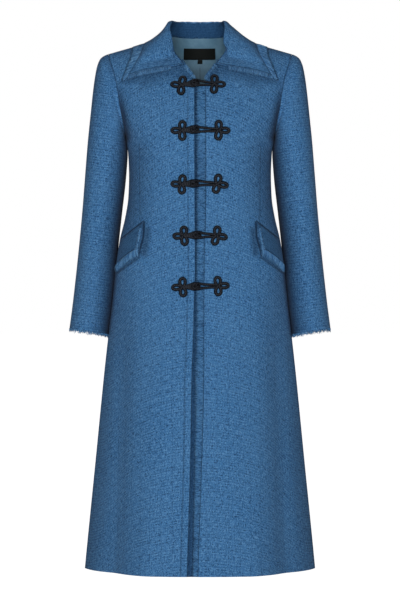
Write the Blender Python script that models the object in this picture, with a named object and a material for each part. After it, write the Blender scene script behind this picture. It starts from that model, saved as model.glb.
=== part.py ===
"""Boucle coat, hollow as worn, fastened with five cord frogs.

Metres, +Z up, the front faces -Y, the wearer's left is +X.  The origin lies between the two
points where the shoulder seams meet the neck, where a wearer carries the coat.

The body is one ringed form: every cloth piece is cut from it or laid on it.  A place on the
form is an angle round the body and a root, the square root of the drop below the shoulder
seam, so that the form rolls smoothly over the shoulder.  Roots below nought lie on the back.
"""
import math

import bmesh
import bpy
import numpy as np
from mathutils import Vector

# Driving sizes
WALL = 0.0024            # cloth with its lining
SEAM = 0.0003            # parting between two sewn pieces
LINING = 0.0010
SHOULDER_Z = -0.035      # height of the shoulder tips
TIP_X = 0.193            # half the width from tip to tip
SLOPE = 0.295            # fall of the shoulder seam
NECK_ROUND = 0.05        # rounding of the seam slope towards the neck
LIFT_DROP = 0.165        # drop over which the shoulder slope fades out
NAPE_RISE = 0.040        # rise of the back towards the nape
NAPE_X = 0.08
HEM_Z = -1.114
UNDERARM_Z = -0.215
NECK_X = 0.075           # half the neck width at the shoulder seam

# Body rings: drop below the shoulder seam, half width, front depth, back depth, squareness
RINGS = (
    (0.000, 0.2160, 0.000, 0.000, 2.60),
    (0.006, 0.2150, 0.026, 0.026, 2.60),
    (0.025, 0.2090, 0.052, 0.053, 2.60),
    (0.055, 0.1985, 0.077, 0.077, 2.60),
    (0.085, 0.1880, 0.097, 0.092, 2.60),
    (0.115, 0.1780, 0.112, 0.101, 2.50),
    (0.145, 0.1690, 0.123, 0.105, 2.40),
    (0.180, 0.1560, 0.127, 0.105, 2.30),
    (0.215, 0.1505, 0.121, 0.100, 2.30),
    (0.255, 0.1490, 0.109, 0.091, 2.30),
    (0.300, 0.1505, 0.102, 0.090, 2.30),
    (0.345, 0.1575, 0.102, 0.099, 2.30),
    (0.390, 0.1685, 0.107, 0.113, 2.35),
    (0.432, 0.1755, 0.112, 0.123, 2.40),
    (0.516, 0.1845, 0.121, 0.131, 2.50),
    (0.642, 0.1990, 0.134, 0.143, 2.60),
    (0.852, 0.2200, 0.156, 0.164, 2.80),
    (1.078, 0.2425, 0.180, 0.186, 2.90),
)

# Folds of the skirt: side (front 1, back -1), x, spread, push out, height it starts and is full
FOLDS = (
    (1, 0.112, 0.020, 0.003, -0.60, HEM_Z),
    (1, 0.250, 0.092, -0.075, -0.38, -0.70),
    (-1, 0.052, 0.030, -0.006, -0.56, HEM_Z),
    (-1, 0.105, 0.024, 0.004, -0.56, HEM_Z),
    (-1, 0.170, 0.032, -0.020, -0.46, -0.95),
)
FOLD_FADE = 0.75

# Front edges: height, edge of the right front, edge of the left front, both from the middle
FRONT_EDGES = (
    (-1.113, 0.0257, -0.0048),
    (-1.030, 0.0234, -0.0020),
    (-0.847, 0.0184, 0.0041),
    (-0.715, 0.0165, 0.0072),
    (-0.615, 0.0130, 0.0075),
    (-0.563, 0.0118, 0.0076),
    (-0.473, 0.0095, 0.0082),
    (-0.366, 0.0102, 0.0112),
    (-0.255, 0.0107, 0.0116),
    (-0.156, 0.0109, 0.0110),
    (-0.060, 0.0110, 0.0108),
)

# Front neckline from the front edge to the shoulder: x, drop
FRONT_NECK = (
    (0.0100, 0.0855),
    (0.0200, 0.0735),
    (0.0320, 0.0610),
    (0.0550, 0.0325),
    (0.0700, 0.0105),
    (NECK_X, 0.0),
)

# Back neckline from the middle to the shoulder: x, drop
BACK_NECK = (
    (0.0000, 0.0350),
    (0.0300, 0.0255),
    (0.0550, 0.0065),
    (0.0680, 0.0015),
    (NECK_X, 0.0),
)

# Armhole: height, x on the front, x on the back
ARMHOLE = (
    (-0.215, 0.1560, 0.1560),
    (-0.205, 0.1570, 0.1580),
    (-0.180, 0.1605, 0.1625),
    (-0.150, 0.1665, 0.1690),
    (-0.120, 0.1710, 0.1740),
    (-0.090, 0.1765, 0.1790),
    (-0.060, 0.1855, 0.1865),
    (-0.035, 0.1930, 0.1930),
)
ARM_STEPS = 8            # samples of half an armhole

# Sleeve rings: outer line x and z, inner line x and z, half depth, y of the middle
SLEEVE = (
    (0.1990, -0.0375, 0.1566, -0.2170, 0.0540, 0.000),
    (0.2080, -0.0435, 0.1567, -0.2195, 0.0575, 0.000),
    (0.2150, -0.0575, 0.1566, -0.2220, 0.0590, 0.000),
    (0.2200, -0.0800, 0.1565, -0.2250, 0.0595, 0.001),
    (0.2250, -0.1160, 0.1562, -0.2290, 0.0595, 0.002),
    (0.2300, -0.1630, 0.1556, -0.2350, 0.0590, 0.003),
    (0.2360, -0.2200, 0.1542, -0.2460, 0.0580, 0.008),
    (0.2415, -0.2850, 0.1562, -0.2970, 0.0565, 0.014),
    (0.2475, -0.3580, 0.1642, -0.3690, 0.0550, 0.021),
    (0.2545, -0.4300, 0.1722, -0.4410, 0.0535, 0.028),
    (0.2625, -0.5040, 0.1788, -0.5170, 0.0520, 0.033),
    (0.2690, -0.5600, 0.1848, -0.5735, 0.0510, 0.034),
    (0.2755, -0.6095, 0.1915, -0.6230, 0.0505, 0.034),
)

# Collar stations from the middle of the back to the front end: side (back -1, front 1),
# neckline x and drop, roll line x y z, finished edge x z, fringe edge x z, swell over the coat
COLLAR = (
    (-1, 0.0000, 0.0350, 0.0000, 0.0540, 0.0350, 0.0000, -0.030, 0.0000, -0.047, 0.008),
    (-1, 0.0350, 0.0216, 0.0310, 0.0480, 0.0355, 0.0500, -0.031, 0.0580, -0.048, 0.007),
    (-1, 0.0640, 0.0025, 0.0490, 0.0270, 0.0345, 0.0900, -0.027, 0.1040, -0.042, 0.004),
    (1, 0.0750, 0.0000, 0.0535, -0.0020, 0.0315, 0.1120, -0.001, 0.1386, -0.001, -0.006),
    (1, 0.0695, 0.0112, 0.0560, -0.0330, 0.0090, 0.1205, -0.036, 0.1430, -0.044, 0.007),
    (1, 0.0555, 0.0318, 0.0555, -0.0590, -0.0270, 0.1330, -0.062, 0.1520, -0.070, 0.014),
    (1, 0.0335, 0.0595, 0.0345, -0.0990, -0.0630, 0.1480, -0.088, 0.1610, -0.095, 0.016),
)
COLLAR_HALF = 12         # columns of half the collar
COLLAR_CLEAR = 0.0045    # middle of the collar's cloth above the coat at its edge

# Pocket flap: inner end x and z at its top and bottom, angle and heights of its outer end
FLAP_IN_TOP = (0.1175, -0.3945)
FLAP_IN_LOW = (0.1265, -0.4500)
FLAP_OUT_ANGLE = math.radians(76)
FLAP_OUT_TOP = -0.4330
FLAP_OUT_LOW = -0.4835
FLAP_FRINGE = 0.0125

# Frogs: x and z of the knot, then for the right and the left half the reach from the knot
# to the trefoil, the tilt of the half and the turn of its trefoil
FROGS = (
    (-0.0053, -0.1050, 0.0332, 7.4, -15.0, 0.0356, -2.6, 0.0),
    (-0.0064, -0.2015, 0.0307, 3.0, -3.0, 0.0452, -1.4, -0.6),
    (-0.0070, -0.3098, 0.0305, 4.7, -8.7, 0.0430, -1.9, -9.0),
    (-0.0015, -0.4180, 0.0319, 1.8, 1.5, 0.0356, -1.0, -10.5),
    (-0.0035, -0.5232, 0.0326, 2.9, 0.0, 0.0412, 1.1, 2.0),
)
EYELET = 0.0076          # radius of an eyelet's middle line
TREFOIL_SPREAD = math.radians(92)  # from the outer eyelet to a side one
CORD = 0.0030            # half the width of the doubled cord
KNOT = 0.0062            # radius of the knot button
FROG_LIFT = 0.0008

# Neck label and its tab: x range, z range
LABEL = (-0.0365, 0.0345, -0.0380, -0.0145)
TAB = (-0.0055, 0.0055, -0.0470, -0.0385)

FRONT_STRIP = 0.0032     # strip of the front fringe below the cloth's face
STEP_Z = -0.584          # the front fringe is pieced here


def curve_through(keys, values):
    """A smooth curve through table rows that does not overshoot them."""
    keys = np.asarray(keys, float)
    values = np.asarray(values, float)
    step = np.diff(keys)
    rise = np.diff(values) / step
    slope = np.zeros(len(keys))
    slope[0] = rise[0]
    slope[-1] = rise[-1]
    for k in range(1, len(keys) - 1):
        if rise[k - 1] * rise[k] > 0:
            before = 2 * step[k] + step[k - 1]
            after = step[k] + 2 * step[k - 1]
            slope[k] = (before + after) / (before / rise[k - 1] + after / rise[k])

    def at(key):
        k = int(np.clip(np.searchsorted(keys, key) - 1, 0, len(step) - 1))
        t = (key - keys[k]) / step[k]
        return ((1 + 2 * t) * (1 - t) ** 2 * values[k] + t * (1 - t) ** 2 * step[k] * slope[k]
                + t * t * (3 - 2 * t) * values[k + 1] + t * t * (t - 1) * step[k] * slope[k + 1])

    return at


def column(table, index):
    return [row[index] for row in table]


def smooth(t):
    t = min(1.0, max(0.0, t))
    return t * t * (3 - 2 * t)


RING_ROOTS = [math.sqrt(row[0]) for row in RINGS]
half_width = curve_through(RING_ROOTS, column(RINGS, 1))
front_depth = curve_through(RING_ROOTS, column(RINGS, 2))
back_depth = curve_through(RING_ROOTS, column(RINGS, 3))
squareness = curve_through(RING_ROOTS, column(RINGS, 4))
right_edge = curve_through(column(FRONT_EDGES, 0), column(FRONT_EDGES, 1))
left_edge = curve_through(column(FRONT_EDGES, 0), column(FRONT_EDGES, 2))
arm_front = curve_through(column(ARMHOLE, 0), column(ARMHOLE, 1))
arm_back = curve_through(column(ARMHOLE, 0), column(ARMHOLE, 2))


def lift(x, drop, back):
    """How far the shoulder slope and the nape raise a ring at x."""
    fade = 1 - smooth(drop / LIFT_DROP)
    rise = SLOPE * (math.hypot(TIP_X, NECK_ROUND) - math.hypot(x, NECK_ROUND))
    if back:
        rise += NAPE_RISE * math.cos(math.pi / 2 * min(1.0, abs(x) / NAPE_X)) ** 2
    return rise * fade


def body(angle, root):
    """Point of the body's outer face; angle 0 is the middle of the front, pi that of the back."""
    if root < 0:
        return body(math.pi - angle, -root)
    drop = root * root
    power = 2 / squareness(root)
    sine = math.sin(angle)
    cosine = math.cos(angle)
    wide = half_width(root)
    deep = front_depth(root) if cosine > 0 else back_depth(root)
    x = wide * abs(sine) ** power
    y = deep * abs(cosine) ** power
    z = SHOULDER_Z - drop + lift(x, drop, cosine < 0)
    side = 1 if cosine > 0 else -1
    push = 0.0
    for fold_side, fold_x, spread, depth, start, full in FOLDS:
        if fold_side == side:
            grow = smooth((start - z) / (start - full)) * abs(cosine) ** FOLD_FADE
            push += depth * grow * math.exp(-((x - fold_x) / spread) ** 2)
    if push:
        across = abs(sine) ** (2 - power) / wide
        along = abs(cosine) ** (2 - power) / max(deep, 1e-6)
        size = math.hypot(across, along)
        x += push * across / size
        y += push * along / size
    return Vector((math.copysign(x, sine), -side * y, z))


def body_normal(angle, root):
    step = 2e-4
    across = body(angle + step, root) - body(angle - step, root)
    down = body(angle, root + step) - body(angle, root - step)
    normal = down.cross(across)
    if math.cos(angle) < 0:
        normal = across.cross(down) * -1
    return normal.normalized()


def place(x, root):
    """Angle and root of a point at x; roots below nought lie on the back."""
    reach = min(1.0, abs(x) / half_width(abs(root)))
    angle = math.asin(reach ** (squareness(abs(root)) / 2))
    return math.copysign(angle, x), root


def root_at(x, z, back=False):
    """Root of the point of the front or back at x and height z."""
    drop = max(0.0, SHOULDER_Z - z)
    for _ in range(40):
        drop = max(0.0, 0.5 * drop + 0.5 * (SHOULDER_Z - z + lift(x, drop, back)))
    return -math.sqrt(drop) if back else math.sqrt(drop)


def on_body(x, root, out=0.0):
    """Point at x and root, moved out of the body's face."""
    angle, root = place(x, root)
    point = body(angle, root)
    if out:
        point = point + body_normal(angle, root) * out
    return point


def material(name, colour, roughness):
    made = bpy.data.materials.new(name)
    made.use_nodes = True
    shader = made.node_tree.nodes["Principled BSDF"]
    shader.inputs["Base Color"].default_value = (*colour, 1.0)
    shader.inputs["Roughness"].default_value = roughness
    return made


def add_object(name, bm, slot):
    bmesh.ops.recalc_face_normals(bm, faces=bm.faces[:])
    if bm.calc_volume(signed=True) < 0:
        bmesh.ops.reverse_faces(bm, faces=bm.faces[:])
    mesh = bpy.data.meshes.new(name)
    bm.to_mesh(mesh)
    bm.free()
    mesh.materials.append(slot)
    made = bpy.data.objects.new(name, mesh)
    coat.objects.link(made)
    return made


def cloth_wall(outer, inner, tube=False):
    """A wall between two grids of points: a grid on the one, extruded on to the other."""
    rows = len(outer) - 1
    columns = len(outer[0]) - 1
    bm = bmesh.new()
    bmesh.ops.create_grid(bm, x_segments=columns, y_segments=rows, size=1.0)
    row_of = bm.verts.layers.int.new("row")
    column_of = bm.verts.layers.int.new("column")
    for vert in bm.verts:
        vert[row_of] = round((vert.co.y + 1) / 2 * rows)
        vert[column_of] = round((vert.co.x + 1) / 2 * columns)
        vert.co = outer[vert[row_of]][vert[column_of]]
    if tube:
        bmesh.ops.remove_doubles(bm, verts=bm.verts[:], dist=0.00001)
    made = bmesh.ops.extrude_face_region(bm, geom=bm.faces[:], use_keep_orig=True)
    for vert in made["geom"]:
        if isinstance(vert, bmesh.types.BMVert):
            vert.co = inner[vert[row_of]][vert[column_of]]
    return bm


def parted(point, front):
    """Keeps a front or back point on its own side of the side and shoulder seams."""
    point = Vector(point)
    if front:
        point.y = min(point.y, -SEAM / 2)
    else:
        point.y = max(point.y, SEAM / 2)
    return point


def arm_levels():
    """Heights of the armhole samples from the underarm to the shoulder tip."""
    middle = (UNDERARM_Z + SHOULDER_Z) / 2
    reach = (SHOULDER_Z - UNDERARM_Z) / 2
    return [middle - reach * math.cos(math.pi * k / ARM_STEPS) for k in range(ARM_STEPS + 1)]


def arm_place(z, back):
    """Angle and root of an armhole point."""
    if z <= UNDERARM_Z + 1e-6:
        root = root_at(arm_front(z), z, back)
        return math.pi / 2, root
    if z >= SHOULDER_Z - 1e-6:
        return place(TIP_X, 0.0)
    x = arm_back(z) if back else arm_front(z)
    return place(x, root_at(x, z, back))


def panel_places(edge, neck, back, columns, low_rows):
    """Angles and roots of half a panel: rows from the hem up, columns from the middle out."""
    neck_columns = columns // 2
    left = []
    right = []
    for z in low_rows:
        root = abs(root_at(edge(z), z, back))
        left.append((place(edge(z), root)[0], root))
        right.append((math.pi / 2, abs(root_at(half_width(root), z, back))))
    top_root = math.sqrt(neck[0][1])
    for step, z in enumerate(arm_levels()):
        share = step / ARM_STEPS
        root = abs(left[len(low_rows) - 1][1]) * (1 - share) + top_root * share
        near = edge(SHOULDER_Z - root * root + lift(0.01, root * root, back))
        left.append((place(near, root)[0], root))
        angle, arm_root = arm_place(z, back)
        right.append((angle, abs(arm_root)))
    del left[len(low_rows)]
    del right[len(low_rows) - 1]
    rise = curve_through([k / (len(neck) - 1) for k in range(len(neck))], column(neck, 0))
    fall = curve_through([k / (len(neck) - 1) for k in range(len(neck))],
                         [math.sqrt(d) for d in column(neck, 1)])
    start = left[-1]
    top = []
    for col in range(columns + 1):
        if col <= neck_columns:
            t = col / neck_columns
            x = rise(t)
            if col == 0:
                top.append(start)
            else:
                top.append((place(max(x, 0.0), fall(t))[0], fall(t)))
        else:
            t = (col - neck_columns) / (columns - neck_columns)
            top.append((place(NECK_X + (TIP_X - NECK_X) * t, 0.0)[0], 0.0))
    rows = []
    last = len(left) - 1
    for row in range(last + 1):
        blend = max(0.0, (row - (last - ARM_STEPS)) / ARM_STEPS) ** 1.3
        line = []
        for col in range(columns + 1):
            u = col / columns
            angle = left[row][0] * (1 - u) + right[row][0] * u
            root = left[row][1] * (1 - u) + right[row][1] * u
            angle += blend * (top[col][0] - left[-1][0] * (1 - u) - right[-1][0] * u)
            root += blend * (top[col][1] - left[-1][1] * (1 - u) - right[-1][1] * u)
            line.append((angle, max(0.0, root)))
        rows.append(line)
    return rows


def walls_at(places, front, mirror):
    """Outer and inner points of a row of places on the front or the back."""
    outer = []
    inner = []
    for angle, root in places:
        signed = root if front else -root
        point = body(angle, signed)
        normal = body_normal(angle, signed)
        if angle > math.pi / 2 - 1e-6:
            normal.y = 0.0
            normal.normalize()
        if root < 1e-6:
            normal = Vector((SLOPE * 0.85, 0.0, 1.0)).normalized()
        deep = point - normal * WALL
        for target, found in ((outer, point), (inner, deep)):
            found = parted(found, front)
            if mirror:
                found.x = -found.x
            target.append(found)
    return outer, inner


LOW_ROWS = (HEM_Z, -1.03, -0.94, -0.85, -0.76, -0.68, -0.61, -0.55, -0.50, -0.46, -0.425, -0.39,
            -0.36, -0.335, -0.31, -0.285, -0.26, -0.2375, UNDERARM_Z)
FRONT_COLUMNS = 10


def front_panel(name, edge, mirror):
    outer = []
    inner = []
    for places in panel_places(edge, FRONT_NECK, False, FRONT_COLUMNS, LOW_ROWS):
        face, deep = walls_at(places, True, mirror)
        outer.append(face)
        inner.append(deep)
    return add_object(name, cloth_wall(outer, inner), boucle)


def back_panel(name):
    outer = []
    inner = []
    for places in panel_places(lambda z: 0.0, BACK_NECK, True, FRONT_COLUMNS, LOW_ROWS):
        face, deep = walls_at(places, False, False)
        other = [Vector((-p.x, p.y, p.z)) for p in reversed(face[1:])]
        other_deep = [Vector((-p.x, p.y, p.z)) for p in reversed(deep[1:])]
        outer.append(other + face)
        inner.append(other_deep + deep)
    return add_object(name, cloth_wall(outer, inner), boucle)


def sleeve_rings():
    """Rings of the left sleeve from the armhole to the cuff, each with its own middle."""
    first = []
    for z in arm_levels():
        angle, root = arm_place(z, False)
        first.append(parted(body(angle, abs(root)), True))
    for z in reversed(arm_levels()[1:-1]):
        angle, root = arm_place(z, True)
        first.append(parted(body(angle, -abs(root)), False))
    first[0].y = 0.0
    first[ARM_STEPS].y = 0.0
    first = [p + Vector((SEAM * 1.4, 0.0, 0.0)) for p in first]
    rings = [first]
    count = 2 * ARM_STEPS
    for outer_x, outer_z, inner_x, inner_z, depth, y in SLEEVE:
        high = Vector((outer_x, y, outer_z))
        low = Vector((inner_x, y, inner_z))
        middle = (high + low) / 2
        half = (high - low) / 2
        ring = []
        for k in range(count):
            turn = math.pi - math.pi * k / ARM_STEPS
            across = math.copysign(abs(math.cos(turn)) ** 0.92, math.cos(turn))
            deep = math.copysign(abs(math.sin(turn)) ** 0.92, math.sin(turn))
            ring.append(middle + half * across + Vector((0.0, -depth * deep, 0.0)))
        rings.append(ring)
    return rings


def sleeve_walls(mirror):
    rings = sleeve_rings()
    count = len(rings[0])
    outer = []
    inner = []
    for number, ring in enumerate(rings):
        middle = sum(ring, Vector()) / count
        before = rings[max(0, number - 1)]
        after = rings[min(len(rings) - 1, number + 1)]
        face = []
        deep = []
        for k in range(count):
            point = ring[k]
            if number == 0:
                inward = Vector((0.0, middle.y - point.y, middle.z - point.z)).normalized()
            else:
                round_way = ring[(k + 1) % count] - ring[k - 1]
                inward = round_way.cross(after[k] - before[k]).normalized()
                if inward.dot(middle - point) < 0:
                    inward = -inward
            face.append(point)
            deep.append(point + inward * WALL)
        outer.append(face + [face[0]])
        inner.append(deep + [deep[0]])
    if mirror:
        outer = [[Vector((-p.x, p.y, p.z)) for p in row] for row in outer]
        inner = [[Vector((-p.x, p.y, p.z)) for p in row] for row in inner]
    return outer, inner


def sleeve(name, mirror):
    outer, inner = sleeve_walls(mirror)
    return add_object(name, cloth_wall(outer, inner, tube=True), boucle)


def station_curve(values):
    return curve_through([k / (len(values) - 1) for k in range(len(values))], values)


def edge_roots(x_index, z_index):
    """Signed roots of the collar's edge stations from their x and height."""
    roots = []
    for row in COLLAR:
        roots.append(root_at(row[x_index], row[z_index], row[0] < 0))
    return roots


NECK_IN_X = station_curve(column(COLLAR, 1))
NECK_IN_ROOT = station_curve([row[0] * math.sqrt(row[2]) for row in COLLAR])
ROLL = [station_curve(column(COLLAR, k)) for k in (3, 4, 5)]
EDGE_X = station_curve(column(COLLAR, 6))
EDGE_ROOT = station_curve(edge_roots(6, 7))
SWELL = station_curve(column(COLLAR, 10))
TRIM_X = station_curve(column(COLLAR, 8))
TRIM_ROOT = station_curve(edge_roots(8, 9))


def collar_section(t):
    """Middle line of the collar's cloth from the neckline over the roll to its edge."""
    base = on_body(NECK_IN_X(t), NECK_IN_ROOT(t), SEAM)
    roll = Vector((ROLL[0](t), ROLL[1](t), ROLL[2](t)))
    edge = on_body(EDGE_X(t), EDGE_ROOT(t), COLLAR_CLEAR)
    angle, root = place(EDGE_X(t), EDGE_ROOT(t))
    above = body_normal(angle, root)
    stand = (roll - base).normalized()
    foot = base + stand * 0.0020
    span = edge - roll
    out = (span - stand * span.dot(stand)).normalized()
    turn = roll - stand * 0.0012 + out * 0.0070
    length = (edge - turn).length
    points = [foot, foot.lerp(roll, 0.5), roll - stand * 0.001,
              roll + stand * 0.0024 + out * 0.0030]
    first = turn + (out * 0.25 - stand * 0.75).normalized() * length * 0.25 + above * SWELL(t) * 0.3
    second = edge + above * SWELL(t) - span.normalized() * length * 0.30
    for k in range(6):
        w = k / 5
        points.append(turn * (1 - w) ** 3 + first * 3 * w * (1 - w) ** 2
                      + second * 3 * w * w * (1 - w) + edge * w ** 3)
    return points


def collar_grid():
    half = [collar_section(k / COLLAR_HALF) for k in range(COLLAR_HALF + 1)]
    other = [[Vector((-p.x, p.y, p.z)) for p in line] for line in reversed(half[1:])]
    return other + half


def offset_grid(grid, out):
    """The grid's points moved along its own normals."""
    rows = len(grid)
    columns = len(grid[0])
    moved = []
    for row in range(rows):
        line = []
        for col in range(columns):
            along = grid[row][min(col + 1, columns - 1)] - grid[row][max(col - 1, 0)]
            across = grid[min(row + 1, rows - 1)][col] - grid[max(row - 1, 0)][col]
            line.append(grid[row][col] + along.cross(across).normalized() * out)
        moved.append(line)
    return moved


def collar(name):
    grid = collar_grid()
    bm = cloth_wall(offset_grid(grid, WALL / 2), offset_grid(grid, -WALL / 2))
    return add_object(name, bm, boucle)


def fringe(name, root_face, root_deep, end_face, end_deep, lock, tube=False):
    """A narrow strip with a tapering lock on every other cell of its free edge.

    The rows are points along the cloth's edge: the strip's face and underside at the cloth and
    at its free edge; lock holds the way and length of each cell's lock.
    """
    bm = cloth_wall([root_face, end_face], [root_deep, end_deep], tube)
    bmesh.ops.recalc_face_normals(bm, faces=bm.faces[:])
    middles = [(end_face[k] + end_face[k + 1] + end_deep[k] + end_deep[k + 1]) / 4
               for k in range(len(end_face) - 1)]
    for k in range(0, len(middles), 2):
        bm.faces.ensure_lookup_table()
        cell = min(bm.faces, key=lambda f: (f.calc_center_median() - middles[k]).length)
        made = bmesh.ops.extrude_discrete_faces(bm, faces=[cell])["faces"][0]
        middle = made.calc_center_median()
        for vert in made.verts:
            vert.co = middle + (vert.co - middle) * 0.45 + lock[k]
    return add_object(name, bm, fray)


def spread(count, first=0.0, last=1.0):
    return [first + (last - first) * k / count for k in range(count + 1)]


def front_fringe(name, low, high, cells):
    """Part of the frayed strip behind the edge of the left front."""
    lines = [[], [], [], []]
    lock = []
    for share in spread(cells):
        z = low + (high - low) * share
        near = left_edge(z) + 0.004
        far = left_edge(z) - 0.007
        for line, x, depth in ((0, near, 0.0), (1, near, 0.0014), (2, far, 0.0), (3, far, 0.0014)):
            root = root_at(x, z)
            lines[line].append(on_body(x, root, -FRONT_STRIP - depth))
        lock.append(Vector((-(right_edge(z) + left_edge(z)) + 0.0040, 0.0, 0.0)))
    return fringe(name, *lines, lock)


def between(line, share):
    """A point part of the way along a line of points, straight from one to the next."""
    k = min(int(share), len(line) - 2)
    return line[k].lerp(line[k + 1], share - k)


def collar_fringe(name, cells):
    """The frayed strip along the collar's outer edge, from point to point round the back."""
    grid = collar_grid()
    face = offset_grid(grid, WALL / 2)
    edge = [line[-1] for line in grid]
    way = [(line[-1] - line[-2]).normalized() for line in grid]
    up = [(face[k][-1] - grid[k][-1]).normalized() for k in range(len(grid))]
    columns = len(grid) - 1
    lines = [[], [], [], []]
    lock = []
    for share in spread(cells):
        at = share * columns
        out = between(way, at).normalized()
        rise = between(up, at).normalized()
        start = between(edge, at) + out * SEAM * 1.4
        t = abs(2 * share - 1)
        side = 1 if share >= 0.5 else -1
        found = []
        for reach, high in ((0.45, 0.0036), (0.45, 0.0022), (1.0, 0.0026)):
            x = EDGE_X(t) * (1 - reach) + TRIM_X(t) * reach
            root = EDGE_ROOT(t) * (1 - reach) + TRIM_ROOT(t) * reach
            point = on_body(x, root, high)
            found.append(Vector((side * point.x, point.y, point.z)))
        if rise.dot(found[0] - found[1]) < 0:
            rise = -rise
        lines[0].append(start + rise * 0.0007)
        lines[1].append(start - rise * 0.0007)
        lines[2].append(found[0])
        lines[3].append(found[1])
        lock.append(found[2] - (found[0] + found[1]) / 2)
    return fringe(name, *lines, lock)


def collar_lead_fringe(name, mirror, cells):
    """The frayed strip along the collar's front edge."""
    grid = collar_grid()
    face = offset_grid(grid, WALL / 2)
    edge = grid[-1][4:]
    within = grid[-2][4:]
    up = [(face[-1][k] - grid[-1][k]).normalized() for k in range(4, len(grid[-1]))]
    lines = [[], [], [], []]
    lock = []
    for share in spread(cells, 0.0, len(edge) - 1.02):
        start = between(edge, share)
        step = between(edge, min(share + 0.1, len(edge) - 1)) - between(edge, max(0, share - 0.1))
        way = start - between(within, share)
        way = (way - step * (way.dot(step) / step.length_squared)).normalized()
        rise = between(up, share).normalized()
        found = [start + way * SEAM * 1.4 + rise * 0.0007, start + way * SEAM * 1.4 - rise * 0.0007,
                 start + way * 0.005 + rise * 0.0007, start + way * 0.005 - rise * 0.0007]
        for line in range(4):
            point = found[line]
            if mirror:
                point = Vector((-point.x, point.y, point.z))
            lines[line].append(point)
        reach = way * 0.006
        if mirror:
            reach.x = -reach.x
        lock.append(reach)
    return fringe(name, *lines, lock)


def cuff_fringe(name, mirror, cells):
    """The frayed strip that hangs from a cuff."""
    outer, inner = sleeve_walls(mirror)
    count = len(outer[-1]) - 1
    steps = [k / count for k in range(count + 1)]
    face_at = [curve_through(steps, [p[axis] for p in outer[-1]]) for axis in range(3)]
    deep_at = [curve_through(steps, [p[axis] for p in inner[-1]]) for axis in range(3)]
    middle = sum((Vector(p) for p in outer[-1][:-1]), Vector()) / count
    before = sum((Vector(p) for p in outer[-2][:-1]), Vector()) / count
    way = (middle - before).normalized()
    lines = [[], [], [], []]
    lock = []
    for share in spread(cells):
        face = Vector([f(share) for f in face_at])
        deep = Vector([f(share) for f in deep_at])
        lines[0].append(face.lerp(deep, 0.15) + way * SEAM)
        lines[1].append(face.lerp(deep, 0.75) + way * SEAM)
        lines[2].append(face.lerp(deep, 0.15) + way * 0.0042)
        lines[3].append(face.lerp(deep, 0.75) + way * 0.0042)
        lock.append(way * 0.0055)
    for line in lines:
        line[-1] = line[0].copy()
    return fringe(name, *lines, lock, tube=True)


def flap_place(u, v):
    """Angle and root of a place on a flap: u from its inner end, v from its top."""
    start_x = FLAP_IN_TOP[0] * (1 - v) + FLAP_IN_LOW[0] * v
    top = FLAP_IN_TOP[1] * (1 - u) + FLAP_OUT_TOP * u
    low = FLAP_IN_LOW[1] * (1 - u) + FLAP_OUT_LOW * u
    z = top * (1 - v) + low * v
    start = place(start_x, root_at(start_x, z))[0]
    angle = start * (1 - u) + FLAP_OUT_ANGLE * u
    root = math.sqrt(SHOULDER_Z - z)
    return angle, root


def flap_point(u, v, out, mirror):
    angle, root = flap_place(u, v)
    point = body(angle, root) + body_normal(angle, root) * out
    return Vector((-point.x, point.y, point.z)) if mirror else point


def flap(name, mirror):
    outer = []
    inner = []
    for v in spread(4):
        stand = 0.0009 + 0.0022 * v
        outer.append([flap_point(u, v, stand + WALL, mirror) for u in spread(7)])
        inner.append([flap_point(u, v, stand, mirror) for u in spread(7)])
    return add_object(name, cloth_wall(outer, inner), boucle)


def flap_fringe(name, mirror, cells):
    """The frayed strip along the lower edge of a flap."""
    low = 1 + FLAP_FRINGE / (FLAP_IN_TOP[1] - FLAP_IN_LOW[1])
    lines = [[], [], [], []]
    lock = []
    for u in spread(cells, 0.01, 0.99):
        lines[0].append(flap_point(u, 1.008, 0.0050, mirror))
        lines[1].append(flap_point(u, 1.008, 0.0036, mirror))
        lines[2].append(flap_point(u, 1.10, 0.0048, mirror))
        lines[3].append(flap_point(u, 1.10, 0.0034, mirror))
        tip = flap_point(u, low, 0.0034, mirror)
        lock.append(tip - (lines[2][-1] + lines[3][-1]) / 2)
    return fringe(name, *lines, lock)


def cord_ring(x, y, long, wide, turn, lift_up, half):
    """One eyelet: a torus pulled to an oval, its cord flattened on the cloth."""
    bpy.ops.mesh.primitive_torus_add(major_segments=8, minor_segments=4, major_radius=1.0,
                                     minor_radius=0.42, location=(0.0, 0.0, 0.0))
    ring = bpy.context.object
    for vert in ring.data.vertices:
        across = Vector((vert.co.x * long, vert.co.y * wide))
        vert.co = Vector((x + across.x * math.cos(turn) - across.y * math.sin(turn),
                          y + across.x * math.sin(turn) + across.y * math.cos(turn),
                          lift_up + vert.co.z / 0.42 * half))
    return ring


def ball(x, y, z, wide, high):
    bpy.ops.mesh.primitive_uv_sphere_add(segments=8, ring_count=5, radius=1.0)
    made = bpy.context.object
    for vert in made.data.vertices:
        vert.co = Vector((x + vert.co.x * wide, y + vert.co.y * wide, z + vert.co.z * high))
    return made


def bar(start, end, wide, high):
    """A straight doubled cord between two points at one height."""
    bpy.ops.mesh.primitive_cylinder_add(vertices=6, radius=1.0, depth=2.0)
    made = bpy.context.object
    start = Vector(start)
    end = Vector(end)
    way = end - start
    side = Vector((-way.y, way.x, 0.0)).normalized()
    for vert in made.data.vertices:
        middle = start.lerp(end, (vert.co.z + 1) / 2)
        vert.co = middle + side * vert.co.x * wide + Vector((0.0, 0.0, vert.co.y * high))
    return made


def joined(parts):
    """One body out of overlapping ones."""
    base = parts[0]
    for other in parts[1:]:
        union = base.modifiers.new("join", "BOOLEAN")
        union.operation = "UNION"
        union.solver = "EXACT"
        union.object = other
    bpy.context.view_layer.update()
    mesh = bpy.data.meshes.new_from_object(
        base.evaluated_get(bpy.context.evaluated_depsgraph_get()))
    for item in parts:
        bpy.data.objects.remove(item)
    return mesh


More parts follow.
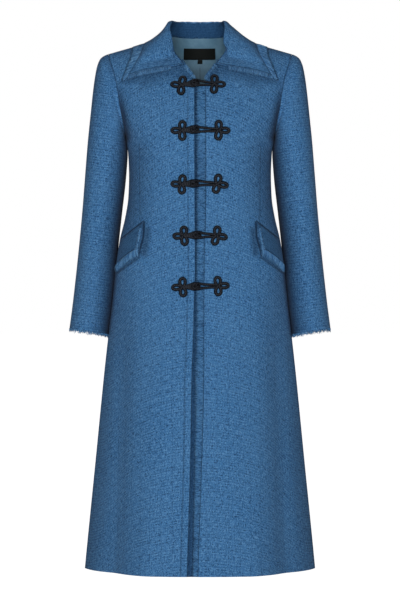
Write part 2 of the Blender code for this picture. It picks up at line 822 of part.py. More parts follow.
def trefoil_parts(x, way, turn):
    """Three eyelets round their middle; way is the side the outer eyelet points to."""
    high = 0.0021
    reach = EYELET + CORD * 0.55
    parts = []
    for heading, long, half in ((0.0, 1.08, 0.0019), (TREFOIL_SPREAD, 1.02, 0.00195),
                                (-TREFOIL_SPREAD, 1.02, 0.00205)):
        angle = heading * way + turn
        parts.append(cord_ring(x + way * reach * math.cos(angle), way * reach * math.sin(angle),
                               EYELET * long, EYELET * 0.84, angle, high, half))
    return parts


def knot_half(reach, turn):
    """Right front's half round the knot: trefoil, doubled stem and knot button."""
    parts = trefoil_parts(-reach, -1, turn)
    parts.append(bar((-reach, 0.0, 0.0020), (-0.0020, 0.0, 0.0020), 0.0026, 0.0017))
    parts.append(ball(0.0, 0.0, 0.0062, KNOT, 0.0056))
    return joined(parts)


def loop_half(reach, turn):
    """Left front's half: trefoil and the loop that lies round the knot."""
    parts = trefoil_parts(reach, 1, turn)
    bpy.ops.mesh.primitive_torus_add(major_segments=16, minor_segments=4, major_radius=1.0,
                                     minor_radius=0.2, location=(0.0, 0.0, 0.0))
    ring = bpy.context.object
    thick = 0.0016
    for vert in ring.data.vertices:
        angle = math.atan2(vert.co.y, vert.co.x)
        out = math.hypot(vert.co.x, vert.co.y) - 1.0
        end_left = -0.0115
        end_right = reach - 0.003
        middle = (end_left + end_right) / 2
        x = middle + math.cos(angle) * (end_right - end_left) / 2
        y = math.sin(angle) * (0.0100 - 0.0042 * (math.cos(angle) + 1) / 2)
        climb = smooth((-0.0035 - x) / 0.006)
        vert.co = Vector((x + out / 0.2 * thick * math.cos(angle),
                          y + out / 0.2 * thick * math.sin(angle),
                          0.0020 + 0.0042 * climb + vert.co.z / 0.2 * thick))
    parts.append(ring)
    return joined(parts)


def frog(name, template, x, z, tilt):
    """A frog half laid on the fronts' face at the knot's place."""
    bm = bmesh.new()
    bm.from_mesh(template)
    turn = math.radians(tilt)
    for vert in bm.verts:
        at_x = x + vert.co.x * math.cos(turn) - vert.co.y * math.sin(turn)
        at_z = z + vert.co.x * math.sin(turn) + vert.co.y * math.cos(turn)
        vert.co = on_body(at_x, root_at(at_x, at_z), FROG_LIFT + vert.co.z)
    return add_object(name, bm, cord)


def back_patch(name, x_range, z_range, out, thick, columns, rows, slot):
    """A piece laid inside the back: its face looks to the front."""
    outer = []
    inner = []
    for z in spread(rows, *z_range):
        line = [(x, root_at(x, z, True)) for x in spread(columns, *x_range)]
        outer.append([on_body(x, root, -WALL - out) for x, root in line])
        inner.append([on_body(x, root, -WALL - out - thick) for x, root in line])
    return add_object(name, cloth_wall(outer, inner), slot)


def lining(name):
    """Lining of the back where the open neck shows it, on the back's own points."""
    outer = []
    inner = []
    for places in panel_places(lambda z: 0.0, BACK_NECK, True, FRONT_COLUMNS, LOW_ROWS)[-7:]:
        face = []
        deep = []
        for angle, root in places[:7]:
            point = body(angle, -root)
            normal = body_normal(angle, -root)
            if root < 1e-6:
                normal = Vector((SLOPE * 0.85, 0.0, 1.0)).normalized()
            face.append(parted(point - normal * (WALL + SEAM), False))
            deep.append(parted(point - normal * (WALL + SEAM + LINING), False))
        for line, target in ((face, outer), (deep, inner)):
            target.append([Vector((-p.x, p.y, p.z)) for p in reversed(line[1:])] + line)
    return add_object(name, cloth_wall(outer, inner), satin)


for item in list(bpy.data.objects):
    bpy.data.objects.remove(item)

coat = bpy.data.collections.new("boucle_coat")
bpy.context.scene.collection.children.link(coat)
boucle = material("boucle", (0.050, 0.150, 0.310), 0.9)
fray = material("fray", (0.045, 0.130, 0.270), 0.95)
cord = material("cord", (0.012, 0.014, 0.020), 0.6)
satin = material("satin", (0.060, 0.120, 0.170), 0.4)
tape = material("tape", (0.006, 0.007, 0.008), 0.6)

front_panel("front_right", right_edge, True)
front_panel("front_left", left_edge, False)
back_panel("back")
sleeve("sleeve_right", True)
sleeve("sleeve_left", False)
collar("collar")
flap("flap_right", True)
flap("flap_left", False)
front_fringe("fringe_front_upper", -0.1150, STEP_Z + 0.0002, 26)
front_fringe("fringe_front_lower", STEP_Z - 0.0002, HEM_Z + 0.002, 26)
collar_fringe("fringe_collar_edge", 48)
collar_lead_fringe("fringe_collar_lead_right", True, 15)
collar_lead_fringe("fringe_collar_lead_left", False, 15)
cuff_fringe("fringe_cuff_right", True, 32)
cuff_fringe("fringe_cuff_left", False, 32)
flap_fringe("fringe_flap_right", True, 16)
flap_fringe("fringe_flap_left", False, 16)
for number, (knot_x, knot_z, *halves) in enumerate(FROGS, 1):
    reach, tilt, turn = halves[:3]
    frog(f"frog_{number}_knot", knot_half(reach, math.radians(turn)), knot_x, knot_z, tilt)
    reach, tilt, turn = halves[3:]
    frog(f"frog_{number}_loop", loop_half(reach, math.radians(turn)), knot_x, knot_z, tilt)
lining("lining_back")
back_patch("label", LABEL[:2], LABEL[2:], 0.0033, 0.0008, 6, 2, tape)
back_patch("size_tab", TAB[:2], TAB[2:], 0.0026, 0.0006, 1, 1, tape)
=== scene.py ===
"""Looks of the boucle coat: cloth shells on the solids' form, frayed edgings and cord frogs.

Metres, +Z up, the front faces -Y, the wearer's left is +X.  A place on the body is an angle round
it and a root, the square root of the drop below the shoulder seam; roots below nought lie on the
back.  Every cloth piece is a grid of points laid on that form, then given its thickness.
"""
import math

import bmesh
import bpy
import numpy as np
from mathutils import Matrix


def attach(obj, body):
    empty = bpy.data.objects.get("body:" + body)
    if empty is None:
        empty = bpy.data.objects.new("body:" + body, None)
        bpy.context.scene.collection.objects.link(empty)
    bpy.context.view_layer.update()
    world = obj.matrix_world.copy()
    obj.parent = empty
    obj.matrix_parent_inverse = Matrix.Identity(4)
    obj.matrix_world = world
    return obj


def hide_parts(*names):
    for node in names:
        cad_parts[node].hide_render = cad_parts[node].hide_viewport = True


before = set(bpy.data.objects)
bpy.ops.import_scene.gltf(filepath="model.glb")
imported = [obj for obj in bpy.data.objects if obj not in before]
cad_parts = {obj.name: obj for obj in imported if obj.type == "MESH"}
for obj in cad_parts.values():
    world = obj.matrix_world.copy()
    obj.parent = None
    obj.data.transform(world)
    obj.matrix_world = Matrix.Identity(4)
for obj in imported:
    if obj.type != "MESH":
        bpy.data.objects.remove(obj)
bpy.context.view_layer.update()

# Sizes of the coat's form, as in the solids
WALL = 0.0024
SEAM = 0.0003
LINING = 0.0010
SHOULDER_Z = -0.035
TIP_X = 0.193
SLOPE = 0.295
NECK_ROUND = 0.05
LIFT_DROP = 0.165
NAPE_RISE = 0.040
NAPE_X = 0.08
HEM_Z = -1.114
UNDERARM_Z = -0.215
NECK_X = 0.075
FLOOR_Z = -1.42

# Body rings: drop below the shoulder seam, half width, front depth, back depth, squareness
RINGS = np.array((
    (0.000, 0.2160, 0.000, 0.000, 2.60),
    (0.006, 0.2150, 0.026, 0.026, 2.60),
    (0.025, 0.2090, 0.052, 0.053, 2.60),
    (0.055, 0.1985, 0.077, 0.077, 2.60),
    (0.085, 0.1880, 0.097, 0.092, 2.60),
    (0.115, 0.1780, 0.112, 0.101, 2.50),
    (0.145, 0.1690, 0.123, 0.105, 2.40),
    (0.180, 0.1560, 0.127, 0.105, 2.30),
    (0.215, 0.1505, 0.121, 0.100, 2.30),
    (0.255, 0.1490, 0.109, 0.091, 2.30),
    (0.300, 0.1505, 0.102, 0.090, 2.30),
    (0.345, 0.1575, 0.102, 0.099, 2.30),
    (0.390, 0.1685, 0.107, 0.113, 2.35),
    (0.432, 0.1755, 0.112, 0.123, 2.40),
    (0.516, 0.1845, 0.121, 0.131, 2.50),
    (0.642, 0.1990, 0.134, 0.143, 2.60),
    (0.852, 0.2200, 0.156, 0.164, 2.80),
    (1.078, 0.2425, 0.180, 0.186, 2.90),
))

# Folds of the skirt: side (front 1, back -1), x, spread, push out, height it starts and is full
FOLDS = (
    (1, 0.112, 0.020, 0.003, -0.60, HEM_Z),
    (1, 0.250, 0.092, -0.075, -0.38, -0.70),
    (-1, 0.052, 0.030, -0.006, -0.56, HEM_Z),
    (-1, 0.105, 0.024, 0.004, -0.56, HEM_Z),
    (-1, 0.170, 0.032, -0.020, -0.46, -0.95),
)
FOLD_FADE = 0.75

# Front edges: height, edge of the right front, edge of the left front, both from the middle
FRONT_EDGES = np.array((
    (-1.113, 0.0257, -0.0048),
    (-1.030, 0.0234, -0.0020),
    (-0.847, 0.0184, 0.0041),
    (-0.715, 0.0165, 0.0072),
    (-0.615, 0.0130, 0.0075),
    (-0.563, 0.0118, 0.0076),
    (-0.473, 0.0095, 0.0082),
    (-0.366, 0.0102, 0.0112),
    (-0.255, 0.0107, 0.0116),
    (-0.156, 0.0109, 0.0110),
    (-0.060, 0.0110, 0.0108),
))

# Necklines from the middle to the shoulder: x, drop
FRONT_NECK = np.array((
    (0.0100, 0.0855), (0.0200, 0.0735), (0.0320, 0.0610),
    (0.0550, 0.0325), (0.0700, 0.0105), (NECK_X, 0.0),
))
BACK_NECK = np.array((
    (0.0000, 0.0350), (0.0150, 0.0326), (0.0300, 0.0255), (0.0450, 0.0146), (0.0580, 0.0039),
    (0.0680, 0.0010), (NECK_X, 0.0),
))

# Armhole: height, x on the front, x on the back
ARMHOLE = np.array((
    (-0.215, 0.1560, 0.1560),
    (-0.205, 0.1570, 0.1580),
    (-0.180, 0.1605, 0.1625),
    (-0.150, 0.1665, 0.1690),
    (-0.120, 0.1710, 0.1740),
    (-0.090, 0.1765, 0.1790),
    (-0.060, 0.1855, 0.1865),
    (-0.035, 0.1930, 0.1930),
))

# Sleeve rings: outer line x and z, inner line x and z, half depth, y of the middle
SLEEVE = np.array((
    (0.1990, -0.0375, 0.1554, -0.2170, 0.0540, 0.000),
    (0.2080, -0.0435, 0.1545, -0.2195, 0.0575, 0.000),
    (0.2150, -0.0575, 0.1538, -0.2220, 0.0590, 0.000),
    (0.2200, -0.0800, 0.1531, -0.2250, 0.0595, 0.001),
    (0.2250, -0.1160, 0.1526, -0.2290, 0.0595, 0.002),
    (0.2300, -0.1630, 0.1520, -0.2350, 0.0590, 0.003),
    (0.2360, -0.2200, 0.1519, -0.2460, 0.0580, 0.008),
    (0.2415, -0.2850, 0.1558, -0.2970, 0.0565, 0.014),
    (0.2475, -0.3580, 0.1642, -0.3690, 0.0550, 0.021),
    (0.2545, -0.4300, 0.1722, -0.4410, 0.0535, 0.028),
    (0.2625, -0.5040, 0.1788, -0.5170, 0.0520, 0.033),
    (0.2690, -0.5600, 0.1848, -0.5735, 0.0510, 0.034),
    (0.2755, -0.6095, 0.1915, -0.6230, 0.0505, 0.034),
))

# Collar stations from the middle of the back to the front end: side (back -1, front 1),
# neckline x, roll line x y z, finished edge x z, fringe edge x z, swell over the coat
COLLAR = np.array((
    (-1, 0.0000, 0.0000, 0.0540, 0.0350, 0.0000, -0.030, 0.0000, -0.047, 0.008),
    (-1, 0.0350, 0.0310, 0.0480, 0.0355, 0.0500, -0.031, 0.0580, -0.048, 0.007),
    (-1, 0.0640, 0.0490, 0.0270, 0.0345, 0.0900, -0.027, 0.1040, -0.042, 0.004),
    (1, 0.0750, 0.0535, -0.0020, 0.0315, 0.1120, -0.001, 0.1386, -0.001, -0.006),
    (1, 0.0695, 0.0560, -0.0330, 0.0090, 0.1205, -0.036, 0.1430, -0.044, 0.007),
    (1, 0.0555, 0.0555, -0.0590, -0.0270, 0.1330, -0.062, 0.1520, -0.070, 0.014),
    (1, 0.0335, 0.0345, -0.0990, -0.0630, 0.1480, -0.088, 0.1610, -0.095, 0.016),
))
COLLAR_CLEAR = 0.0045

# Pocket flap: inner end x and z at its top and bottom, angle and heights of its outer end
FLAP_IN_TOP = (0.1175, -0.3945)
FLAP_IN_LOW = (0.1265, -0.4500)
FLAP_OUT_ANGLE = math.radians(76)
FLAP_OUT_TOP = -0.4330
FLAP_OUT_LOW = -0.4835
FLAP_FRINGE = 0.0125
FLAP_RISE = 0.10
FLAP_SEAM = 0.862

# Frogs: x and z of the knot, then for the right and the left half the reach from the knot
# to the trefoil, the tilt of the half and the turn of its trefoil
FROGS = (
    (-0.0053, -0.1050, 0.0332, 7.4, -15.0, 0.0356, -2.6, 0.0),
    (-0.0064, -0.2015, 0.0307, 3.0, -3.0, 0.0452, -1.4, -0.6),
    (-0.0070, -0.3098, 0.0305, 4.7, -8.7, 0.0430, -1.9, -9.0),
    (-0.0015, -0.4180, 0.0319, 1.8, 1.5, 0.0356, -1.0, -10.5),
    (-0.0035, -0.5232, 0.0326, 2.9, 0.0, 0.0412, 1.1, 2.0),
)
KNOT = 0.0062
FROG_LIFT = 0.0008

LABEL = (-0.0365, 0.0345, -0.0380, -0.0145)
TAB = (-0.0055, 0.0055, -0.0470, -0.0385)
STEP_Z = -0.584

# Lower edge of the collar's fray on the fronts, where the painted shadow under it starts: x, z
COLLAR_SHADE = np.array((
    (0.0115, -0.0900), (0.0274, -0.0795), (0.0433, -0.0717), (0.0589, -0.0704),
    (0.0803, -0.0756), (0.1009, -0.0849), (0.1271, -0.0939), (0.1508, -0.0966),
))
# Lines of painted shade on the fronts: along the dart, the flaps' seams and ends, under the flaps'
# fray, beside the sleeves' inner edges and the collar's outer edge; the first is also pressed into
# the bump. x z of both ends, half width, strength
FRONT_LINES = (
    (0.1261, -0.2320, 0.1244, -0.3840, 0.0018, 0.60),
    (0.1244, -0.3840, 0.1185, -0.3960, 0.0018, 0.60),
    (0.1170, -0.3872, 0.1640, -0.4224, 0.0021, 0.98),
    (0.1158, -0.3900, 0.1168, -0.4200, 0.0050, 0.92),
    (0.1168, -0.4200, 0.1228, -0.4420, 0.0050, 0.92),
    (0.1228, -0.4420, 0.1272, -0.4600, 0.0040, 0.80),
    (0.1095, -0.4060, 0.1155, -0.4540, 0.0135, 0.55),
    (0.1650, -0.4000, 0.1735, -0.4410, 0.0110, 0.55),
    (0.1735, -0.4410, 0.1810, -0.5170, 0.0110, 0.60),
    (0.1810, -0.5170, 0.1940, -0.6200, 0.0110, 0.60),
    (0.1260, -0.4630, 0.1790, -0.4985, 0.0048, 0.60),
    (0.1370, -0.0360, 0.1510, -0.0680, 0.0030, 0.60),
    (0.1510, -0.0680, 0.1630, -0.0940, 0.0030, 0.60),
)
# Outer edge of the collar's fray, beside which the fronts take painted shade: z, x
COLLAR_OUTER = np.array(((-0.0950, 0.1610), (-0.0700, 0.1520), (-0.0440, 0.1430),
                         (-0.0010, 0.1386)))
FACING = 0.0145
SLEEVE_TUCK = 0.006
FRONT_STRIP = 0.0032


def curve_through(keys, values):
    """A smooth curve through table rows that does not overshoot them."""
    keys = np.asarray(keys, float)
    values = np.asarray(values, float)
    step = np.diff(keys)
    wide = step.reshape(-1, *[1] * (values.ndim - 1))
    rise = np.diff(values, axis=0) / wide
    slope = np.zeros_like(values)
    slope[0] = rise[0]
    slope[-1] = rise[-1]
    before = 2 * wide[1:] + wide[:-1]
    after = wide[1:] + 2 * wide[:-1]
    same = rise[:-1] * rise[1:] > 0
    low = np.where(same, rise[:-1], 1.0)
    high = np.where(same, rise[1:], 1.0)
    slope[1:-1] = np.where(same, (before + after) / (before / low + after / high), 0.0)

    def at(key):
        key = np.asarray(key, float)
        k = np.clip(np.searchsorted(keys, key) - 1, 0, len(step) - 1)
        shape = key.shape + (1,) * (values.ndim - 1)
        s = step[k].reshape(shape)
        t = ((key - keys[k]) / step[k]).reshape(shape)
        return ((1 + 2 * t) * (1 - t) ** 2 * values[k] + t * (1 - t) ** 2 * s * slope[k]
                + t * t * (3 - 2 * t) * values[k + 1] + t * t * (t - 1) * s * slope[k + 1])

    return at


def smooth(t):
    t = np.clip(t, 0.0, 1.0)
    return t * t * (3 - 2 * t)


def unit(vectors):
    return vectors / np.maximum(np.linalg.norm(vectors, axis=-1, keepdims=True), 1e-9)


def mirrored(points):
    return points * np.array((-1.0, 1.0, 1.0))


def square_to(way, up):
    """Directions square to a way: to its side, and up from the face it lies on."""
    side = unit(np.cross(up, way))
    return side, np.cross(way, side)


def square_part(vectors, axis):
    """Directions of vectors once their part along an axis is taken out."""
    return unit(vectors - axis * (vectors * axis).sum(-1, keepdims=True))


half_width = curve_through(np.sqrt(RINGS[:, 0]), RINGS[:, 1])
front_depth = curve_through(np.sqrt(RINGS[:, 0]), RINGS[:, 2])
back_depth = curve_through(np.sqrt(RINGS[:, 0]), RINGS[:, 3])
squareness = curve_through(np.sqrt(RINGS[:, 0]), RINGS[:, 4])
right_edge = curve_through(FRONT_EDGES[:, 0], FRONT_EDGES[:, 1])
left_edge = curve_through(FRONT_EDGES[:, 0], FRONT_EDGES[:, 2])
arm_front = curve_through(ARMHOLE[:, 0], ARMHOLE[:, 1])
arm_back = curve_through(ARMHOLE[:, 0], ARMHOLE[:, 2])


def lift(x, drop, back):
    """How far the shoulder slope and the nape raise a ring at x."""
    fade = 1 - smooth(drop / LIFT_DROP)
    rise = SLOPE * (math.hypot(TIP_X, NECK_ROUND) - np.hypot(x, NECK_ROUND))
    nape = NAPE_RISE * np.cos(math.pi / 2 * np.minimum(1.0, np.abs(x) / NAPE_X)) ** 2
    return (rise + np.where(back, nape, 0.0)) * fade


def body(angle, root):
    """Points of the body's outer face; angle 0 is the middle of the front or of the back."""
    angle, root = np.broadcast_arrays(np.asarray(angle, float), np.asarray(root, float))
    angle = np.where(root < 0, math.pi - angle, angle)
    root = np.abs(root)
    drop = root * root
    power = 2 / squareness(root)
    sine = np.sin(angle)
    cosine = np.cos(angle)
    front = cosine > 0
    wide = half_width(root)
    deep = np.where(front, front_depth(root), back_depth(root))
    x = wide * np.abs(sine) ** power
    y = deep * np.abs(cosine) ** power
    z = SHOULDER_Z - drop + lift(x, drop, ~front)
    push = np.zeros_like(x)
    for side, fold_x, spread, depth, start, full in FOLDS:
        grow = smooth((start - z) / (start - full)) * np.abs(cosine) ** FOLD_FADE
        fold = depth * grow * np.exp(-((x - fold_x) / spread) ** 2)
        push += np.where(front == (side > 0), fold, 0.0)
    across = np.abs(sine) ** (2 - power) / wide
    along = np.abs(cosine) ** (2 - power) / np.maximum(deep, 1e-6)
    size = np.maximum(np.hypot(across, along), 1e-9)
    x = x + push * across / size
    y = y + push * along / size
    return np.stack((np.copysign(x, sine), np.where(front, -y, y), z), -1)


def body_normal(angle, root):
    step = 2e-4
    across = body(angle + step, root) - body(angle - step, root)
    down = body(angle, root + step) - body(angle, root - step)
    return unit(np.cross(down, across))


def place(x, root):
    """Angle of a point at x on the ring of a root."""
    reach = np.minimum(1.0, np.abs(x) / half_width(np.abs(root)))
    return np.copysign(np.arcsin(reach ** (squareness(np.abs(root)) / 2)), x)


def root_at(x, z, back=False):
    """Root of the point of the front or back at x and height z."""
    x, z = np.broadcast_arrays(np.asarray(x, float), np.asarray(z, float))
    drop = np.maximum(0.0, SHOULDER_Z - z)
    for _ in range(40):
        drop = np.maximum(0.0, 0.5 * drop + 0.5 * (SHOULDER_Z - z + lift(x, drop, back)))
    return -np.sqrt(drop) if back else np.sqrt(drop)


def on_body(x, root, out=0.0):
    """Points at x and root, moved out of the body's face."""
    angle = place(x, root)
    return body(angle, root) + body_normal(angle, root) * np.asarray(out)[..., None]


def stroke(x, z, line, width):
    """How near points are to a line of soft pull in the front view, 1 on it and 0 far off."""
    x0, z0, x1, z1 = line
    long = np.hypot(x1 - x0, z1 - z0)
    t = ((x - x0) * (x1 - x0) + (z - z0) * (z1 - z0)) / long ** 2
    off = ((x - x0) * (z1 - z0) - (z - z0) * (x1 - x0)) / long
    ends = smooth(t / 0.25) * smooth((1 - t) / 0.25)
    return np.exp(-(off / width) ** 2) * ends


# Pulls and soft rolls of the fronts: x0 z0 x1 z1 of the line, half width, height
FRONT_PULLS = (
    (0.170, -0.185, 0.105, -0.245, 0.011, -0.0014),
    (-0.168, -0.180, -0.112, -0.262, 0.012, -0.0013),
    (0.060, -0.330, 0.140, -0.352, 0.012, -0.0010),
    (-0.050, -0.338, -0.138, -0.348, 0.011, -0.0010),
    (0.045, -0.620, 0.062, -1.120, 0.026, 0.0022),
    (-0.060, -0.600, -0.082, -1.120, 0.024, 0.0020),
    (0.095, -0.520, 0.118, -1.130, 0.020, -0.0016),
    (-0.108, -0.540, -0.124, -1.130, 0.018, -0.0014),
    (0.172, -0.560, 0.196, -1.120, 0.020, 0.0020),
    (-0.176, -0.600, -0.190, -1.120, 0.018, 0.0022),
)
# Pulls of the back, as seen from the front
BACK_PULLS = (
    (0.060, -0.330, 0.130, -0.350, 0.014, -0.0012),
    (-0.055, -0.335, -0.130, -0.345, 0.013, -0.0012),
    (0.030, -0.070, 0.130, -0.110, 0.020, 0.0012),
    (-0.034, -0.075, -0.135, -0.105, 0.020, 0.0012),
    (0.000, -0.620, 0.004, -1.120, 0.030, 0.0022),
    (0.150, -0.150, 0.120, -0.250, 0.014, -0.0014),
    (-0.152, -0.145, -0.118, -0.255, 0.013, -0.0014),
)
# Pulls of the sleeves' front, on the left sleeve and on the right one
SLEEVE_PULLS = (
    (1, 0.232, -0.330, 0.182, -0.352, 0.010, -0.0016),
    (1, 0.238, -0.372, 0.190, -0.362, 0.009, -0.0012),
    (1, 0.216, -0.420, 0.243, -0.640, 0.016, 0.0018),
    (1, 0.196, -0.225, 0.215, -0.100, 0.014, -0.0012),
    (-1, 0.228, -0.322, 0.180, -0.346, 0.010, -0.0014),
    (-1, 0.240, -0.382, 0.186, -0.366, 0.010, -0.0014),
    (-1, 0.212, -0.430, 0.236, -0.640, 0.016, 0.0020),
    (-1, 0.194, -0.230, 0.212, -0.110, 0.014, -0.0012),
)


def pulled(points, pulls):
    """How far each point is moved out by the pulls of its piece."""
    push = np.zeros(points.shape[:-1])
    for x0, z0, x1, z1, width, height in pulls:
        push += height * stroke(points[..., 0], points[..., 2], (x0, z0, x1, z1), width)
    return push


coat = bpy.data.collections.new("coat")
bpy.context.scene.collection.children.link(coat)


def woven(name, points, uv, materials, merge=True, flip=False, second=None, fields=()):
    """A mesh from a grid laid on rows of points; each block of rows is a patch of its own.

    second tells by row and column which faces take the second material, and fields are named
    distances over the grid that the finishes read.
    """
    blocks, rows, columns = points.shape[:3]
    total = blocks * rows
    bm = bmesh.new()
    bm.loops.layers.uv.new("weave")
    bmesh.ops.create_grid(bm, x_segments=columns - 1, y_segments=total - 1, size=1.0)
    mesh = bpy.data.meshes.new(name)
    bm.to_mesh(mesh)
    bm.free()
    spot = np.empty(len(mesh.vertices) * 3, np.float32)
    mesh.vertices.foreach_get("co", spot)
    spot = spot.reshape(-1, 3).astype(float)
    col = np.rint((spot[:, 0] + 1) / 2 * (columns - 1)).astype(int)
    row = np.rint((spot[:, 1] + 1) / 2 * (total - 1)).astype(int)
    laid = points.reshape(total, columns, 3)[row, col]
    mesh.vertices.foreach_set("co", laid.astype(np.float32).ravel())
    for label, values in dict(fields).items():
        layer = mesh.attributes.new(label, "FLOAT", "POINT")
        layer.data.foreach_set("value", values[row, col].astype(np.float32))
    corner = np.empty(len(mesh.loops), np.int32)
    mesh.loops.foreach_get("vertex_index", corner)
    chart = np.broadcast_to(uv, (blocks, rows, columns, 2)).reshape(total, columns, 2)
    mesh.uv_layers["weave"].data.foreach_set(
        "uv", chart[row[corner], col[corner]].astype(np.float32).ravel())
    lowest = row[corner].reshape(-1, 4).min(1)
    if second is not None:
        chosen = second[lowest, col[corner].reshape(-1, 4).min(1)]
        mesh.polygons.foreach_set("material_index", chosen.astype(np.int32))
    between = np.flatnonzero(lowest % rows == rows - 1)
    bm = bmesh.new()
    bm.from_mesh(mesh)
    bm.faces.ensure_lookup_table()
    if len(between):
        bmesh.ops.delete(bm, geom=[bm.faces[k] for k in between], context="FACES")
    if merge:
        bmesh.ops.remove_doubles(bm, verts=bm.verts[:], dist=1e-6)
    if flip:
        bmesh.ops.reverse_faces(bm, faces=bm.faces[:])
    for face in bm.faces:
        face.smooth = True
    bm.to_mesh(mesh)
    bm.free()
    for finish in materials:
        mesh.materials.append(finish)
    return mesh


def piece(name, mesh, nodes=()):
    """Puts a mesh in the scene as a piece of the coat."""
    made = bpy.data.objects.new(name, mesh)
    coat.objects.link(made)
    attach(made, "root")
    if nodes:
        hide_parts(*nodes)
    return made


def thicken(made, thick, offset=-1.0, edge=0.0007, lined=False):
    """Cloth thickness with a soft rim; a lined piece has its second finish on the inner face."""
    wall = made.modifiers.new("cloth_thickness", "SOLIDIFY")
    wall.thickness = thick
    wall.offset = offset
    wall.material_offset = 1 if lined else 0
    wall.use_quality_normals = True
    rim = made.modifiers.new("soft_rim", "BEVEL")
    rim.width = edge
    rim.segments = 2
    rim.limit_method = "ANGLE"
    rim.angle_limit = math.radians(55)
    return made


def lengths_along(points, axis):
    """Lengths along a grid's rows or columns, from the first point."""
    step = np.linalg.norm(np.diff(points, axis=axis), axis=-1)
    start = np.zeros_like(np.take(step, [0], axis=axis))
    return np.concatenate((start, np.cumsum(step, axis=axis)), axis=axis)


def grain(points, shift=(0.0, 0.0)):
    """Cloth coordinates in metres: across the rows and up the columns."""
    across = lengths_along(points, 1) + shift[0]
    up = np.broadcast_to(lengths_along(points, 0)[:, :1], across.shape) + shift[1]
    return np.stack((across, up), -1)


CHART_ANGLES = np.linspace(0, math.pi / 2, 61)
CHART_ROOTS = np.linspace(0, math.sqrt(SHOULDER_Z - HEM_Z), 121)


def body_chart(back):
    """Lengths round the rings from the middle and down the form, over angles and roots."""
    angle, root = np.meshgrid(CHART_ANGLES, CHART_ROOTS)
    points = body(angle, -root if back else root)
    down = lengths_along(points, 0)
    return lengths_along(points, 1), down[-1:, :1] - down


def looked_up(chart, angle, root):
    """Value of a chart at each angle and root."""
    a = np.clip(np.abs(angle) / CHART_ANGLES[1], 0, len(CHART_ANGLES) - 1.001)
    r = np.clip(root / CHART_ROOTS[1], 0, len(CHART_ROOTS) - 1.001)
    i, j = r.astype(int), a.astype(int)
    u, v = r - i, a - j
    return ((1 - u) * ((1 - v) * chart[i, j] + v * chart[i, j + 1])
            + u * ((1 - v) * chart[i + 1, j] + v * chart[i + 1, j + 1]))


def body_grain(angle, root, back, shift=0.0):
    """Cloth coordinates of a panel, on the straight grain."""
    across, up = body_chart(back)
    return np.stack((looked_up(across, angle, root) + shift, looked_up(up, angle, root)), -1)


def sleeve_grain(points, front_column, shift):
    """Cloth coordinates of a sleeve, from its front line round and from the cuff up."""
    across = lengths_along(points, 1)
    across = across - across[:, front_column:front_column + 1]
    up = lengths_along(points[::-1], 0)[::-1]
    return np.stack((across + shift[0], up + shift[1]), -1)


# Material helpers

def put(tree, kind, values=(), **settings):
    """A node with its settings, its inputs set or linked."""
    made = tree.nodes.new(kind)
    for key, value in settings.items():
        setattr(made, key, value)
    for key, value in dict(values).items():
        if isinstance(value, bpy.types.NodeSocket):
            tree.links.new(value, made.inputs[key])
        else:
            made.inputs[key].default_value = value
    return made


def calc(tree, operation, *terms):
    return put(tree, "ShaderNodeMath", enumerate(terms), operation=operation).outputs[0]


def moved(tree, operation, *terms):
    return put(tree, "ShaderNodeVectorMath", enumerate(terms), operation=operation).outputs[0]


def measured(tree, operation, *terms):
    return put(tree, "ShaderNodeVectorMath", enumerate(terms), operation=operation).outputs["Value"]


def off_from(tree, value, middle):
    return calc(tree, "ABSOLUTE", calc(tree, "SUBTRACT", value, middle))


def swing(tree, value, pitch):
    """A sine of a value that comes round once in a pitch."""
    return calc(tree, "SINE", calc(tree, "MULTIPLY", value, 2 * math.pi / pitch))


def parts(tree, vector):
    return put(tree, "ShaderNodeSeparateXYZ", {0: vector}).outputs


def field(tree, name):
    return put(tree, "ShaderNodeAttribute", attribute_name=name).outputs["Fac"]


def weave_chart(tree):
    """Cloth coordinates, in metres."""
    return put(tree, "ShaderNodeUVMap", uv_map="weave").outputs[0]


def object_spot(tree):
    return put(tree, "ShaderNodeTexCoord").outputs["Object"]


def scaled(tree, vector, by):
    return put(tree, "ShaderNodeVectorMath", {0: vector, "Scale": by}, operation="SCALE").outputs[0]


def ranged(tree, value, low, high, to_low=0.0, to_high=1.0):
    return put(tree, "ShaderNodeMapRange", {0: value, 1: low, 2: high, 3: to_low, 4: to_high},
               interpolation_type="SMOOTHSTEP").outputs[0]


def blended(tree, share, first, second):
    return put(tree, "ShaderNodeMix", {0: share, 6: first, 7: second}, data_type="RGBA").outputs[2]


def noise(tree, vector, scale, detail=2.0, rough=0.5):
    return put(tree, "ShaderNodeTexNoise",
               {"Vector": vector, "Scale": scale, "Detail": detail, "Roughness": rough}).outputs


# Kinds of group sockets by the count of numbers in their value
SOCKETS = {1: "NodeSocketFloat", 3: "NodeSocketVector", 4: "NodeSocketColor"}
FINISH_SOCKETS = {"Color": 4, "Height": 1, "Roughness": 1}
MILLIMETRES = 1000.0


def group(name, given, gives):
    """An empty shader group with its sockets; returns it with its two ends."""
    tree = bpy.data.node_groups.new(name, "ShaderNodeTree")
    for label, value in given.items():
        kind = SOCKETS[np.size(value)]
        tree.interface.new_socket(label, in_out="INPUT", socket_type=kind).default_value = value
    for label, count in gives.items():
        tree.interface.new_socket(label, in_out="OUTPUT", socket_type=SOCKETS[count])
    return tree, tree.nodes.new("NodeGroupInput").outputs, tree.nodes.new("NodeGroupOutput").inputs


# Yarn pitches of the boucle, in millimetres; the check comes round once in four picks
WARP_PITCH = 4.7
WEFT_PITCH = 5.85
CHECK_PITCH = 4 * WEFT_PITCH
# Slubs are long along their yarn and narrow across it
SLUB_LONG = 0.10
SLUB_NARROW = 0.42

GROUND = (0.0490, 0.1750, 0.3900, 1.0)
DARK_YARN = (0.0130, 0.0480, 0.1250, 1.0)
BRIGHT_YARN = (0.1250, 0.3000, 0.5400, 1.0)
# Colour that painted shade darkens the cloth towards
SHADE = (0.0060, 0.0210, 0.0550, 1.0)


